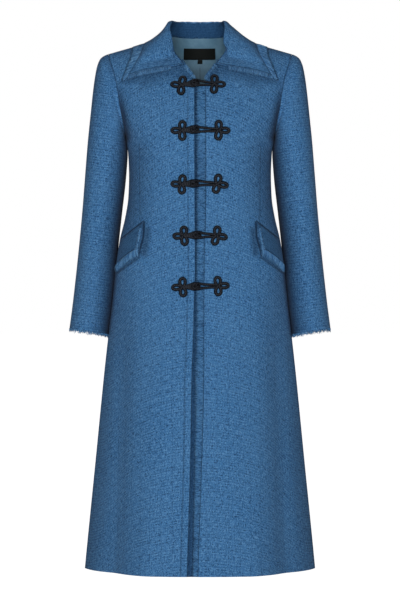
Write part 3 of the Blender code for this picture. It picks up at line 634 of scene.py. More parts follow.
def boucle_weave():
    """Looped tweed: crossing yarns that wander, nubs, dark and bright yarn and a faint check."""
    tree, start, end = group(
        "boucle_weave",
        {"UV": (0.0, 0.0, 0.0), "Ground": GROUND, "Dark yarn": DARK_YARN,
         "Bright yarn": BRIGHT_YARN, "Check": 0.5}, FINISH_SOCKETS)
    flat = scaled(tree, start["UV"], MILLIMETRES)
    wander = moved(tree, "SUBTRACT", noise(tree, flat, 0.30)[1], (0.5, 0.5, 0.5))
    yarn = moved(tree, "ADD", flat, scaled(tree, wander, 1.6))
    split = parts(tree, yarn)
    weft = swing(tree, split[1], WEFT_PITCH)
    cross = calc(tree, "MULTIPLY", swing(tree, split[0], WARP_PITCH), weft)
    nubs = put(tree, "ShaderNodeTexVoronoi", {"Vector": yarn, "Scale": 0.55, "Randomness": 1.0},
               feature="SMOOTH_F1", voronoi_dimensions="2D").outputs[0]
    speck = noise(tree, flat, 0.40, 3.0, 0.6)[0]
    tone = calc(tree, "MULTIPLY_ADD", weft, 0.06, calc(tree, "MULTIPLY", cross, 0.06))
    for wide, tall, share in ((SLUB_NARROW, SLUB_LONG, 1.0), (SLUB_LONG, SLUB_NARROW, 0.75)):
        slub = noise(tree, moved(tree, "MULTIPLY", yarn, (wide, tall, 0.0)), 1.0, 2.0, 0.6)[0]
        tone = calc(tree, "MULTIPLY_ADD", calc(tree, "SUBTRACT", slub, 0.5), share, tone)
    tone = calc(tree, "MULTIPLY_ADD", calc(tree, "SUBTRACT", speck, 0.5), 1.4, tone)
    tone = calc(tree, "MULTIPLY_ADD", calc(tree, "SUBTRACT", 0.42, nubs), 0.30, tone)
    colour = blended(tree, ranged(tree, tone, -0.02, -0.26, 0.0, 0.92), start["Ground"],
                     start["Dark yarn"])
    colour = blended(tree, ranged(tree, tone, 0.04, 0.28, 0.0, 0.82), colour, start["Bright yarn"])
    lines = []
    for axis in (0, 1):
        along = calc(tree, "FRACT", calc(tree, "DIVIDE", split[axis], CHECK_PITCH))
        lines.append(ranged(tree, off_from(tree, along, 0.5), 0.11, 0.02))
    check = calc(tree, "MULTIPLY", calc(tree, "MAXIMUM", lines[0], lines[1]),
                 calc(tree, "MULTIPLY", start["Check"], ranged(tree, speck, 0.35, 0.6)))
    colour = blended(tree, calc(tree, "MULTIPLY", check, 0.35), colour, start["Dark yarn"])
    cloud = noise(tree, flat, 0.011)[0]
    colour = blended(tree, ranged(tree, cloud, 0.3, 0.7, 0.0, 0.10), colour, start["Bright yarn"])
    height = calc(tree, "MULTIPLY_ADD", cross, 0.22, calc(tree, "MULTIPLY", nubs, -0.9))
    tree.links.new(colour, end["Color"])
    tree.links.new(calc(tree, "MULTIPLY_ADD", tone, 0.8, height), end["Height"])
    tree.links.new(ranged(tree, tone, -0.4, 0.4, 0.96, 0.84), end["Roughness"])
    return tree


def cord_twist():
    """Twisted cord: slanting plies round the cord, from its own length and turn, with a painted
    highlight along the crest that faces out from the coat.
    """
    tree, start, end = group(
        "cord_twist",
        {"UV": (0.0, 0.0, 0.0), "Plies": 3.0, "Lay": 0.0045, "Low": (0.004, 0.004, 0.006, 1.0),
         "High": (0.03, 0.03, 0.04, 1.0)}, FINISH_SOCKETS)
    split = parts(tree, start["UV"])
    turn = calc(tree, "ADD", calc(tree, "MULTIPLY", split[0], start["Plies"]),
                calc(tree, "DIVIDE", split[1], start["Lay"]))
    ply = calc(tree, "ABSOLUTE", swing(tree, turn, 2.0))
    fibre = noise(tree, scaled(tree, start["UV"], MILLIMETRES), 1.4)[0]
    height = calc(tree, "MULTIPLY_ADD", fibre, 0.25, calc(tree, "POWER", ply, 0.6))
    # painted highlight along the crest that faces out from the coat
    crest = swing(tree, split[0], 1.0)
    crest_highlight = calc(tree, "MULTIPLY", ranged(tree, crest, 0.70, 1.0), ranged(tree, height, 0.35, 1.0))
    tree.links.new(blended(tree, crest_highlight, start["Low"], start["High"]), end["Color"])
    tree.links.new(height, end["Height"])
    tree.links.new(ranged(tree, fibre, 0.3, 0.7, 0.42, 0.6), end["Roughness"])
    return tree


def painted_shade_line():
    """Mask of a painted shade line between two places of the front view, alike on both sides of the
    coat.
    """
    tree, start, end = group(
        "painted_shade_line",
        {"Spot": (0.0, 0.0, 0.0), "From": (0.0, 0.0, 0.0), "To": (0.0, 0.0, 1.0),
         "Half width": 0.002}, {"Mask": 1})
    flat = moved(tree, "MULTIPLY", moved(tree, "ABSOLUTE", start["Spot"]), (1.0, 0.0, -1.0))
    run = moved(tree, "SUBTRACT", start["To"], start["From"])
    off = moved(tree, "SUBTRACT", flat, start["From"])
    share = calc(tree, "DIVIDE", measured(tree, "DOT_PRODUCT", off, run),
                 measured(tree, "DOT_PRODUCT", run, run))
    share = calc(tree, "MINIMUM", calc(tree, "MAXIMUM", share, 0.0), 1.0)
    far = measured(tree, "DISTANCE", off, scaled(tree, run, share))
    tree.links.new(ranged(tree, calc(tree, "DIVIDE", far, start["Half width"]), 1.0, 0.1),
                   end["Mask"])
    return tree


BOUCLE = boucle_weave()
TWIST = cord_twist()
PAINTED_SHADE_LINE = painted_shade_line()


# Finishes

COLLAR_SEAM = 0.0024


def finish(name, roughness, **sockets):
    """A material with its shader; sockets set the shader's own values."""
    made = bpy.data.materials.new(name)
    made.use_nodes = True
    shader = made.node_tree.nodes["Principled BSDF"]
    shader.inputs["Roughness"].default_value = roughness
    for key, value in sockets.items():
        shader.inputs[key.replace("_", " ")].default_value = value
    return made, made.node_tree, shader


def dress(tree, shader, colour, roughness=None, height=None, strength=0.5, distance=0.001):
    """Gives a shader its colour and, where they are given, its roughness and its bump."""
    tree.links.new(colour, shader.inputs["Base Color"])
    if roughness is not None:
        tree.links.new(roughness, shader.inputs["Roughness"])
    if height is not None:
        bump = put(tree, "ShaderNodeBump",
                   {"Strength": strength, "Distance": distance, "Height": height})
        tree.links.new(bump.outputs[0], shader.inputs["Normal"])


def boucle_in(tree, tones, check):
    """The boucle weave in a material, in its three tones: its colour, height and roughness."""
    made = put(tree, "ShaderNodeGroup",
               {"UV": weave_chart(tree), "Ground": tones[0], "Dark yarn": tones[1],
                "Bright yarn": tones[2], "Check": check}, node_tree=BOUCLE)
    return [made.outputs[label] for label in ("Color", "Height", "Roughness")]


def shaded(tree, colour, masks):
    """Painted shade: a colour that the strongest of its masks takes towards the shade of a deep
    seam.
    """
    share = masks[0]
    for mask in masks[1:]:
        share = calc(tree, "MAXIMUM", share, mask)
    return blended(tree, share, colour, SHADE)


def front_shade(tree, colour, height):
    """Painted shade of the fronts along their lines, seams and edges, beside the armholes and the
    waist's sides and under the collar; the first line is also pressed into the bump.
    """
    spot = object_spot(tree)
    across, _, high = parts(tree, spot)
    masks = []
    for x0, z0, x1, z1, width, strength in FRONT_LINES:
        line = put(tree, "ShaderNodeGroup",
                   {"Spot": spot, "From": (x0, 0.0, z0), "To": (x1, 0.0, z1), "Half width": width},
                   node_tree=PAINTED_SHADE_LINE)
        masks.append(calc(tree, "MULTIPLY", line.outputs["Mask"], strength))
    underarm = ranged(tree, high, -0.080, -0.165)
    waist = calc(tree, "MULTIPLY", ranged(tree, high, -0.200, -0.270),
                 ranged(tree, high, -0.470, -0.400))
    chest = ranged(tree, calc(tree, "ABSOLUTE", across), 0.140, 0.112)
    arm, collar = field(tree, "arm"), field(tree, "collar")
    facing = off_from(tree, field(tree, "facing"), FACING)
    # Painted shade by distance: the distance, where its shade starts and is full, its strength and
    # where it shows
    for far, start, full, strength, where in (
            (arm, 0.022, 0.0, 0.90, underarm),
            (field(tree, "side"), 0.080, 0.004, 0.36, waist),
            (arm, 0.0030, 0.0004, 0.55, 1.0),
            (collar, 0.016, -0.002, 0.40, 1.0),
            (collar, 0.038, 0.002, 0.46, chest),
            (field(tree, "edge"), 0.0020, 0.0005, 0.75, 1.0),
            (facing, 0.0022, 0.0003, 0.40, 1.0)):
        masks.append(calc(tree, "MULTIPLY", ranged(tree, far, start, full, 0.0, strength), where))
    return shaded(tree, colour, masks), calc(tree, "MULTIPLY_ADD", masks[0], -1.6, height)


def sleeve_shade(tree, colour, height):
    """Painted shade of the sleeves where they lie against the body, and a painted highlight on
    their outer side below the head.
    """
    inner = field(tree, "inner")
    below_head = ranged(tree, parts(tree, object_spot(tree))[2], -0.180, -0.280)
    # painted highlight: the outer side, below the head, blended towards the bright yarn
    outer = calc(tree, "MULTIPLY", below_head, ranged(tree, inner, 0.110, 0.150, 0.0, 0.30))
    painted_highlight = blended(tree, outer, colour, BRIGHT_YARN)
    return shaded(tree, painted_highlight, [ranged(tree, inner, 0.090, 0.017, 0.0, 0.95)]), height


def collar_shade(tree, colour, height):
    """Painted shade along the sewn line inside the collar's edge."""
    off = off_from(tree, field(tree, "rim"), COLLAR_SEAM)
    return shaded(tree, colour, [ranged(tree, off, 0.0030, 0.0004, 0.0, 0.50)]), height


def flap_shade(tree, colour, height):
    """Painted shade along a flap's sewn lines: above its fray and along its top."""
    drop = field(tree, "drop")
    masks = [ranged(tree, off_from(tree, drop, FLAP_SEAM), 0.034, 0.006, 0.0, 0.80),
             ranged(tree, drop, -0.045, -0.090, 0.0, 0.85)]
    return shaded(tree, colour, masks), height


def as_woven(tree, colour, height):
    return colour, height


CLOTH_TONES = (GROUND, DARK_YARN, BRIGHT_YARN)
FLAP_TONES = ((0.0290, 0.1010, 0.2240, 1.0), (0.0150, 0.0560, 0.1350, 1.0),
              (0.0480, 0.1420, 0.2850, 1.0))
# Strip's woven ground: the same yarns, darkened with painted shade of its recess behind the fronts
# and of the gap beside the right front
STRIP_TONES = ((0.018, 0.064, 0.155, 1.0), (0.008, 0.028, 0.072, 1.0),
               (0.040, 0.115, 0.240, 1.0))
# Collar's stand inside the neck: a plainer cloth, darkened with painted shade of the inside of the
# collar
STAND_TONES = ((0.022, 0.078, 0.186, 1.0), (0.014, 0.053, 0.130, 1.0),
               (0.032, 0.104, 0.230, 1.0))
STRIP_DARK = (0.009, 0.036, 0.100, 1.0)
STRIP_BRIGHT = (0.112, 0.310, 0.590, 1.0)
FRAY_BRIGHT = (0.1550, 0.3550, 0.6100, 1.0)
SATIN_DEEP, SATIN_PALE = (0.090, 0.200, 0.296, 1.0), (0.140, 0.278, 0.388, 1.0)
PLEAT_SHADE = (0.030, 0.070, 0.110, 1.0)
TAPE_DEEP, TAPE_PALE = (0.0030, 0.0046, 0.0044, 1.0), (0.0090, 0.0120, 0.0115, 1.0)
CORD_DEEP, CORD_PALE = (0.0012, 0.0014, 0.0020, 1.0), (0.030, 0.034, 0.044, 1.0)
THREAD_DEEP, THREAD_PALE = (0.007, 0.024, 0.062, 1.0), (0.020, 0.060, 0.140, 1.0)


def boucle_finish(name, check, shade=as_woven, bump=(0.55, 0.0011), tones=CLOTH_TONES):
    """Boucle of a piece of the coat, with the painted shade of its own seams and edges and, on the
    sleeves, a painted highlight.
    """
    made, tree, shader = finish(name, 0.9, Sheen_Weight=0.04, Sheen_Roughness=0.6,
                                Specular_IOR_Level=0.15)
    colour, height, roughness = boucle_in(tree, tones, check)
    colour, height = shade(tree, colour, height)
    dress(tree, shader, colour, roughness, height, *bump)
    return made


def plain_finish(name, tones):
    """Plainer woven cloth of the same yarns, with no check."""
    made, tree, shader = finish(name, 0.95, Specular_IOR_Level=0.1)
    colour, height, roughness = boucle_in(tree, tones, 0.0)
    dress(tree, shader, colour, roughness, height)
    return made


def fray_finish(name, dark, bright):
    """Loose yarn: each strand has its own shade of the cloth's yarns."""
    made, tree, shader = finish(name, 0.95, Sheen_Weight=0.05, Specular_IOR_Level=0.1)
    chart = weave_chart(tree)
    each = put(tree, "ShaderNodeTexWhiteNoise", {"W": calc(tree, "FLOOR", parts(tree, chart)[0])},
               noise_dimensions="1D").outputs[0]
    along = noise(tree, scaled(tree, chart, 700.0), 0.6)[0]
    tone = calc(tree, "MULTIPLY_ADD", calc(tree, "SUBTRACT", along, 0.5), 0.7, each)
    colour = blended(tree, ranged(tree, tone, 0.28, -0.06), GROUND, dark)
    colour = blended(tree, ranged(tree, tone, 0.34, 0.80), colour, bright)
    dress(tree, shader, colour, None, along, 0.4, 0.0004)
    return made


def satin_finish():
    """Satin lining: fine twill, a little cloudy, with painted shade in the pleat at the middle of
    the back.
    """
    made, tree, shader = finish("lining_satin", 0.45, Sheen_Weight=0.1, Specular_IOR_Level=0.4)
    flat = scaled(tree, weave_chart(tree), MILLIMETRES)
    split = parts(tree, flat)
    twill = calc(tree, "SINE", calc(tree, "MULTIPLY", calc(tree, "ADD", split[0], split[1]), 9.0))
    cloud = noise(tree, flat, 0.05, 3.0)[0]
    thread = noise(tree, moved(tree, "MULTIPLY", flat, (2.0, 0.15, 1.0)), 1.0)[0]
    tone = calc(tree, "MULTIPLY_ADD", thread, 0.5, calc(tree, "MULTIPLY", cloud, 0.6))
    colour = blended(tree, ranged(tree, tone, 0.35, 0.75), SATIN_DEEP, SATIN_PALE)
    across, _, high = parts(tree, object_spot(tree))
    # painted shade in the pleat's fold
    pleat = calc(tree, "MULTIPLY", ranged(tree, calc(tree, "ABSOLUTE", across), 0.0016, 0.0004),
                 ranged(tree, high, -0.050, -0.060, 0.0, 0.55))
    colour = blended(tree, pleat, colour, PLEAT_SHADE)
    dress(tree, shader, colour, ranged(tree, cloud, 0.3, 0.7, 0.38, 0.52),
          calc(tree, "MULTIPLY_ADD", twill, 0.2, thread), 0.25, 0.0002)
    return made


def twist_finish(name, roughness, specular, deep, pale, lay=0.0045, bump=0.0):
    """Twisted cord or thread, with a painted highlight along its crest."""
    made, tree, shader = finish(name, roughness, Specular_IOR_Level=specular)
    twist = put(tree, "ShaderNodeGroup",
                {"UV": weave_chart(tree), "Lay": lay, "Low": deep, "High": pale},
                node_tree=TWIST).outputs
    dress(tree, shader, twist["Color"], twist["Roughness"], twist["Height"] if bump else None,
          bump, 0.0006)
    return made


def tape_finish():
    """Black woven tape, ribbed across, with a thread or two standing out."""
    made, tree, shader = finish("black_tape", 0.65, Specular_IOR_Level=0.12)
    flat = scaled(tree, weave_chart(tree), MILLIMETRES)
    rib = calc(tree, "SINE", calc(tree, "MULTIPLY", parts(tree, flat)[1], 10.0))
    thread = noise(tree, moved(tree, "MULTIPLY", flat, (0.4, 3.0, 1.0)), 1.0)[0]
    colour = blended(tree, ranged(tree, thread, 0.35, 0.75), TAPE_DEEP, TAPE_PALE)
    dress(tree, shader, colour, ranged(tree, thread, 0.3, 0.7, 0.5, 0.65),
          calc(tree, "MULTIPLY_ADD", rib, 0.4, thread), 0.3, 0.0002)
    return made


boucle = boucle_finish("boucle_cloth", 0.6)
boucle_front = boucle_finish("boucle_front", 0.6, front_shade)
boucle_sleeve = boucle_finish("boucle_sleeve", 0.6, sleeve_shade)
boucle_collar = boucle_finish("boucle_collar", 0.3, collar_shade, (0.45, 0.0010))
boucle_flap = boucle_finish("boucle_flap", 0.0, flap_shade, (0.45, 0.0010), FLAP_TONES)
satin = satin_finish()
fray = fray_finish("loose_yarn", DARK_YARN, FRAY_BRIGHT)
strip_fray = fray_finish("loose_yarn_strip", STRIP_DARK, STRIP_BRIGHT)
strip_ground = plain_finish("strip_ground", STRIP_TONES)
stand_cloth = plain_finish("stand_cloth", STAND_TONES)
black_cord = twist_finish("black_cord", 0.6, 0.06, CORD_DEEP, CORD_PALE, bump=0.6)
thread = twist_finish("sewing_thread", 0.7, 0.3, THREAD_DEEP, THREAD_PALE, lay=0.0009)
tape = tape_finish()


# Body panels

# Grids of the panels: columns of a half, rows below the underarm, rows above it
FRONT_GRID = (84, 138, 34)
BACK_GRID = (72, 138, 34)
# Outward direction along the shoulder seams
SEAM_UP = unit(np.array((SLOPE * 0.85, 0.0, 1.0)))


def arm_levels(steps):
    """Heights of the armhole's points, closer together at its two ends."""
    middle = (UNDERARM_Z + SHOULDER_Z) / 2
    reach = (SHOULDER_Z - UNDERARM_Z) / 2
    return middle - reach * np.cos(math.pi * np.arange(steps + 1) / steps)


def arm_place(z, back):
    """Angles and roots of the armhole at its heights, underarm first and tip last."""
    x = arm_back(z) if back else arm_front(z)
    root = np.abs(root_at(x, z, back))
    angle = place(x, root)
    angle[0] = math.pi / 2
    root[-1] = 0.0
    angle[-1] = place(np.array(TIP_X), np.array(0.0))
    return angle, root


def panel_places(edge, neck, back, columns, rows, arm_steps):
    """Angles and roots of half a panel: rows from the hem up, columns from the middle out."""
    low = np.linspace(HEM_Z, UNDERARM_Z, rows)
    low_root = np.abs(root_at(edge(low), low, back))
    side_root = np.abs(root_at(half_width(low_root), low, back))
    share = np.arange(1, arm_steps + 1) / arm_steps
    high_root = low_root[-1] * (1 - share) + math.sqrt(neck[0][1]) * share
    near = edge(SHOULDER_Z - high_root ** 2 + lift(0.01, high_root ** 2, back))
    arm_angle, arm_root = arm_place(arm_levels(arm_steps), back)
    left_root = np.concatenate((low_root, high_root))
    left_angle = np.concatenate((place(edge(low), low_root), place(near, high_root)))
    right_root = np.concatenate((side_root[:-1], arm_root))
    right_angle = np.concatenate((np.full(rows - 1, math.pi / 2), arm_angle))
    neck_columns = columns // 2
    at = np.linspace(0, 1, len(neck))
    t = np.arange(neck_columns + 1) / neck_columns
    neck_root = curve_through(at, np.sqrt(neck[:, 1]))(t)
    neck_angle = place(np.maximum(curve_through(at, neck[:, 0])(t), 0.0), neck_root)
    neck_root[0] = left_root[-1]
    neck_angle[0] = left_angle[-1]
    t = np.arange(1, columns - neck_columns + 1) / (columns - neck_columns)
    seam_angle = place(NECK_X + (TIP_X - NECK_X) * t, np.zeros(len(t)))
    top_root = np.concatenate((neck_root, np.zeros(len(t))))
    top_angle = np.concatenate((neck_angle, seam_angle))
    u = np.arange(columns + 1) / columns
    last = len(left_root) - 1
    blend = np.maximum(0.0, (np.arange(last + 1) - (last - arm_steps)) / arm_steps)[:, None] ** 1.3
    angle = left_angle[:, None] * (1 - u) + right_angle[:, None] * u
    root = left_root[:, None] * (1 - u) + right_root[:, None] * u
    angle = angle + blend * (top_angle - left_angle[-1] * (1 - u) - right_angle[-1] * u)
    root = root + blend * (top_root - left_root[-1] * (1 - u) - right_root[-1] * u)
    return angle, np.maximum(0.0, root)


def panel_normal(angle, root, back):
    """Outward directions of a panel; along the shoulder seam they lean with its slope."""
    out = body_normal(angle, -root if back else root)
    return np.where((root < 1e-6)[..., None], SEAM_UP, out)


def panel_points(angle, root, back, pulls, flipped=False):
    """Outer points of a panel with its pulls, kept on its own side of the seams."""
    points = body(angle, -root if back else root)
    out = panel_normal(angle, root, back)
    seen = mirrored(points) if flipped else points
    side = np.clip((math.pi / 2 - angle) / 0.12, 0.0, 1.0)
    below = smooth((UNDERARM_Z - points[..., 2] + 0.02) / 0.04)
    press = -0.0007 * np.exp(-(side / 0.25) ** 2) * below
    free = smooth(root / 0.12) * smooth(side / 0.3)
    points = points + out * (pulled(seen, pulls) * free + press)[..., None]
    if back:
        points[..., 1] = np.maximum(points[..., 1], SEAM / 2)
    else:
        points[..., 1] = np.minimum(points[..., 1], -SEAM / 2)
    return mirrored(points) if flipped else points


def front_fields(points, edge, faced):
    """Distances over a front that place its painted shade: from its edge, facing, armhole, side
    seam and collar.
    """
    x, z = points[..., 0], points[..., 2]
    from_edge = x - edge(np.clip(z, FRONT_EDGES[0, 0], FRONT_EDGES[-1, 0]))
    arm = arm_front(np.clip(z, UNDERARM_Z, SHOULDER_Z)) - x + np.maximum(0.0, UNDERARM_Z - z)
    collar_z = np.interp(x, COLLAR_SHADE[:, 0], COLLAR_SHADE[:, 1])
    outer = 3 * (x - np.interp(z, COLLAR_OUTER[:, 0], COLLAR_OUTER[:, 1]))
    facing = from_edge if faced else np.ones_like(x)
    side = half_width(np.sqrt(np.maximum(0.0, SHOULDER_Z - z))) - x
    return {"edge": from_edge, "facing": facing, "arm": arm, "side": side,
            "collar": np.maximum(collar_z - z, outer)}


def front_panel(name, edge, flipped):
    angle, root = panel_places(edge, FRONT_NECK, False, *FRONT_GRID)
    points = panel_points(angle, root, False, FRONT_PULLS, flipped)
    chart = body_grain(angle, root, False, 0.4 if flipped else 0.0)
    fields = front_fields(mirrored(points) if flipped else points, edge, flipped)
    mesh = woven(name, points[None], chart[None], (boucle_front, satin), merge=False, flip=flipped,
                 fields=fields)
    return thicken(piece(name + "_cloth", mesh, [name]), WALL, lined=True)


def back_panel(name):
    angle, root = panel_places(np.zeros_like, BACK_NECK, True, *BACK_GRID)
    half = panel_points(angle, root, True, BACK_PULLS)
    other_pulls = [(-x0, z0, -x1, z1, *rest) for x0, z0, x1, z1, *rest in BACK_PULLS]
    other = mirrored(panel_points(angle, root, True, other_pulls))
    points = np.concatenate((other[:, :0:-1], half), 1)
    chart = body_grain(angle, root, True)
    chart = np.concatenate((chart[:, :0:-1] * np.array((-1.0, 1.0)), chart), 1)
    mesh = woven(name, points[None], chart[None], (boucle, satin), merge=False, flip=True)
    return thicken(piece(name + "_cloth", mesh, [name]), WALL, lined=True)


# Sleeves

# Points of half a ring, power that rounds it and greatest step along the sleeve
SLEEVE_STEPS = 32
SLEEVE_ROUND = 0.92
SLEEVE_STEP = 0.006


def sleeve_rings(steps):
    """Rings of the left sleeve from the armhole to the cuff."""
    levels = arm_levels(steps)
    front = body(*arm_place(levels, False))
    angle, root = arm_place(levels, True)
    back = body(angle, -root)
    front[:, 1] = np.minimum(front[:, 1], -SEAM / 2)
    back[:, 1] = np.maximum(back[:, 1], SEAM / 2)
    first = np.concatenate((front, back[-2:0:-1]))
    first[0, 1] = 0.0
    first[steps, 1] = 0.0
    first[:, 0] += SEAM * 1.4
    turn = math.pi - math.pi * np.arange(2 * steps) / steps
    across = np.copysign(np.abs(np.cos(turn)) ** SLEEVE_ROUND, np.cos(turn))
    deep = np.copysign(np.abs(np.sin(turn)) ** SLEEVE_ROUND, np.sin(turn))
    rings = [first]
    for outer_x, outer_z, inner_x, inner_z, depth, y in SLEEVE:
        high = np.array((outer_x, y, outer_z))
        low = np.array((inner_x, y, inner_z))
        ring = (high + low) / 2 + (high - low) / 2 * across[:, None]
        ring[:, 1] -= depth * deep
        rings.append(ring)
    rings = np.array(rings)
    return np.concatenate((rings, rings[:, :1]), 1)


def seam_allowance(ring):
    """Two rings that turn a sleeve's head in under the body's cloth."""
    middle = ring[:-1].mean(0)
    inward = unit((middle - ring) * np.array((0.0, 1.0, 1.0)))
    under = ring + inward * (WALL + 2 * SEAM)
    return np.array((under - np.array((SLEEVE_TUCK, 0.0, 0.0)), under))


def sleeve_points(side):
    """Grid of a sleeve's face from the armhole to the cuff, with its pulls."""
    rings = sleeve_rings(SLEEVE_STEPS)
    steps = []
    for k in range(len(rings) - 1):
        far = np.linalg.norm(rings[k + 1] - rings[k], axis=-1).max()
        count = max(2, math.ceil(far / SLEEVE_STEP))
        steps.extend(k + np.arange(count) / count)
    points = curve_through(np.arange(len(rings)), rings)(np.array(steps + [len(rings) - 1.0]))
    middle = points[:, :-1].mean(1, keepdims=True)
    out = unit(np.cross(np.gradient(points, axis=0), np.gradient(points, axis=1)))
    out = np.where(((points - middle) * out).sum(-1, keepdims=True) < 0, -out, out)
    push = pulled(points, [pull[1:] for pull in SLEEVE_PULLS if pull[0] == side])
    front = smooth((middle[..., 1] - points[..., 1]) / 0.02)
    push = push * front * smooth(np.arange(len(points)) / 12)[:, None]
    points = points + out * push[..., None]
    points[:, -1] = points[:, 0]
    points = np.concatenate((seam_allowance(points[0]), points))
    return points if side > 0 else mirrored(points)


def sleeve(name, side):
    points = sleeve_points(side)
    chart = sleeve_grain(points, SLEEVE_STEPS // 2, (0.7 if side > 0 else 1.1, 0.004))
    round_it = lengths_along(points, 1)
    inner = np.minimum(round_it, round_it[:, -1:] - round_it)
    mesh = woven(name, points[None], chart[None], (boucle_sleeve, satin), flip=side > 0,
                 fields={"inner": inner})
    return thicken(piece(name + "_cloth", mesh, [name]), WALL, lined=True)


# Collar

def stations(values):
    return curve_through(np.linspace(0, 1, len(values)), values)


def edge_roots(x_index, z_index):
    """Roots of the collar's stations at the x and z in two of their columns."""
    return np.array([float(root_at(row[x_index], row[z_index], row[0] < 0)) for row in COLLAR])


NECK_IN_X = stations(COLLAR[:, 1])
back_neck_root = curve_through(BACK_NECK[:, 0], np.sqrt(BACK_NECK[:, 1]))
front_neck_root = curve_through(FRONT_NECK[:, 0], np.sqrt(FRONT_NECK[:, 1]))
ROLL = stations(COLLAR[:, 2:5])
EDGE_X = stations(COLLAR[:, 5])
EDGE_ROOT = stations(edge_roots(5, 6))
TRIM_X = stations(COLLAR[:, 7])
TRIM_ROOT = stations(edge_roots(7, 8))
SWELL = stations(COLLAR[:, 9])
COLLAR_ROWS = 44
# Lean of the roll: side, place along the half and its spread, shift of x
COLLAR_LEANS = ((1, 0.46, 0.20, -0.0040), (1, 0.78, 0.14, -0.0065),
                (-1, 0.45, 0.12, 0.0030), (-1, 0.62, 0.13, 0.0070))


def at_shoulder(t):
    """How near a place of the collar is to the shoulder seam, where it lies flattest."""
    return np.exp(-((t - 0.5) / 0.13) ** 2)


def collar_half(t):
    """Middle surface of half the collar: a line from the neckline over the roll to the edge."""
    neck_x = NECK_IN_X(t)
    neck_root = np.where(t < 0.5, -back_neck_root(neck_x), front_neck_root(neck_x))
    base = on_body(neck_x, neck_root, SEAM)
    roll = ROLL(t)
    edge = on_body(EDGE_X(t), EDGE_ROOT(t), COLLAR_CLEAR * (1 - 0.72 * at_shoulder(t)))
    above = body_normal(place(EDGE_X(t), EDGE_ROOT(t)), EDGE_ROOT(t))
    stand = unit(roll - base)
    foot = base + stand * 0.0020
    span = edge - roll
    out = square_part(span, stand)
    turn = roll - stand * 0.0012 + out * 0.0052
    length = np.linalg.norm(edge - turn, axis=-1, keepdims=True)
    swell = SWELL(t)[:, None]
    first = turn + unit(out * 0.25 - stand * 0.75) * length * 0.25 + above * swell * 0.3
    second = edge + above * swell - unit(span) * length * 0.30
    knots = [foot, foot * 0.5 + roll * 0.5, roll - stand * 0.001,
             roll + stand * 0.0020 + out * 0.0022]
    for k in range(6):
        w = k / 5
        knots.append(turn * (1 - w) ** 3 + first * 3 * w * (1 - w) ** 2
                     + second * 3 * w * w * (1 - w) + edge * w ** 3)
    knots = np.stack(knots, 1)
    lines = []
    stands = []
    for line in knots:
        far = lengths_along(line, 0)
        lines.append(curve_through(far / far[-1], line)(np.linspace(0, 1, COLLAR_ROWS + 1)))
        stands.append(far[2] / far[-1])
    return np.array(lines), np.array(stands)


def collar_points():
    """Grid of the collar's middle surface, from its right end round the back to its left end."""
    t = np.linspace(0, 1, 91)
    half, stand = collar_half(t)
    fall = np.linspace(0, 1, COLLAR_ROWS + 1)
    near_roll = np.exp(-((fall - stand[:, None] * 1.15) / 0.20) ** 2) * smooth(fall / 0.12)
    halves = {1: half, -1: half.copy()}
    for side, where, spread, shift in COLLAR_LEANS:
        halves[side][..., 0] += shift * np.exp(-((t - where) / spread) ** 2)[:, None] * near_roll
    return (np.concatenate((mirrored(halves[-1][:0:-1]), halves[1])),
            np.concatenate((stand[:0:-1], stand)))


COLLAR_GRID, COLLAR_STAND = collar_points()


def collar(name):
    points = COLLAR_GRID
    inside = np.arange(COLLAR_ROWS) / COLLAR_ROWS < COLLAR_STAND[:-1, None]
    along = np.broadcast_to(lengths_along(points, 0)[:, 30:31], points.shape[:2])
    chart = np.stack((along, lengths_along(points, 1)), -1)
    across, down = lengths_along(points, 0), lengths_along(points, 1)
    rim = np.minimum(np.minimum(across, across[-1:] - across), down[:, -1:] - down)
    mesh = woven(name, points[None], chart[None], (boucle_collar, stand_cloth), merge=False,
                 second=inside, fields={"rim": rim})
    return thicken(piece(name + "_cloth", mesh, [name]), WALL, offset=0.0)


# Pocket flaps

FLAP_WALL = 0.0018


def flap_place(u, v):
    """Angle and root of a place on a flap: u from its inner end, v from its top."""
    start_x = FLAP_IN_TOP[0] * (1 - v) + FLAP_IN_LOW[0] * v
    top = FLAP_IN_TOP[1] * (1 - u) + FLAP_OUT_TOP * u
    low = FLAP_IN_LOW[1] * (1 - u) + FLAP_OUT_LOW * u
    z = top * (1 - v) + low * v
    start = place(start_x, root_at(start_x, z))
    return start * (1 - u) + FLAP_OUT_ANGLE * u, np.sqrt(SHOULDER_Z - z)


def flap_point(u, v, out):
    angle, root = flap_place(u, v)
    return body(angle, root) + body_normal(angle, root) * np.asarray(out)[..., None]


def flap_out(u, v):
    """How far a flap's face stands off the coat: sewn down at its top, loose at its lower edge."""
    tuck = smooth((v + FLAP_RISE) / 0.12)
    stand = 0.0009 + 0.0022 * v + WALL
    return 0.0007 * (1 - tuck) + stand * tuck + 0.0006 * np.sin(u * 7.0 + 0.4) * v ** 2


def flap(name, side):
    u, v = np.meshgrid(np.linspace(0, 1, 37), np.linspace(-FLAP_RISE, 1, 28))
    round_off = np.maximum(0.0, 0.12 - u) * np.maximum(0.0, v - 0.80) * 4.2
    v = v - round_off
    points = flap_point(u, v, flap_out(u, v))
    if side < 0:
        points = mirrored(points)
    chart = grain(points, (0.011, 0.006))
    mesh = woven(name, points[None], chart[None], (boucle_flap,), merge=False, flip=side > 0,
                 fields={"drop": v})
    return thicken(piece(name + "_cloth", mesh, [name]), FLAP_WALL)


# Loose yarns

# Places along a loose yarn, and how full it is there
YARN_AT = np.array((0.0, 0.05, 0.42, 0.78, 1.0))
YARN_FULL = np.array((0.0, 1.0, 0.95, 0.7, 0.0))
YARN_SIDES = 3
# Thickness of the woven grounds that yarns lie on
BAND_WALL = 0.0009
STRIP_WALL = 0.0008


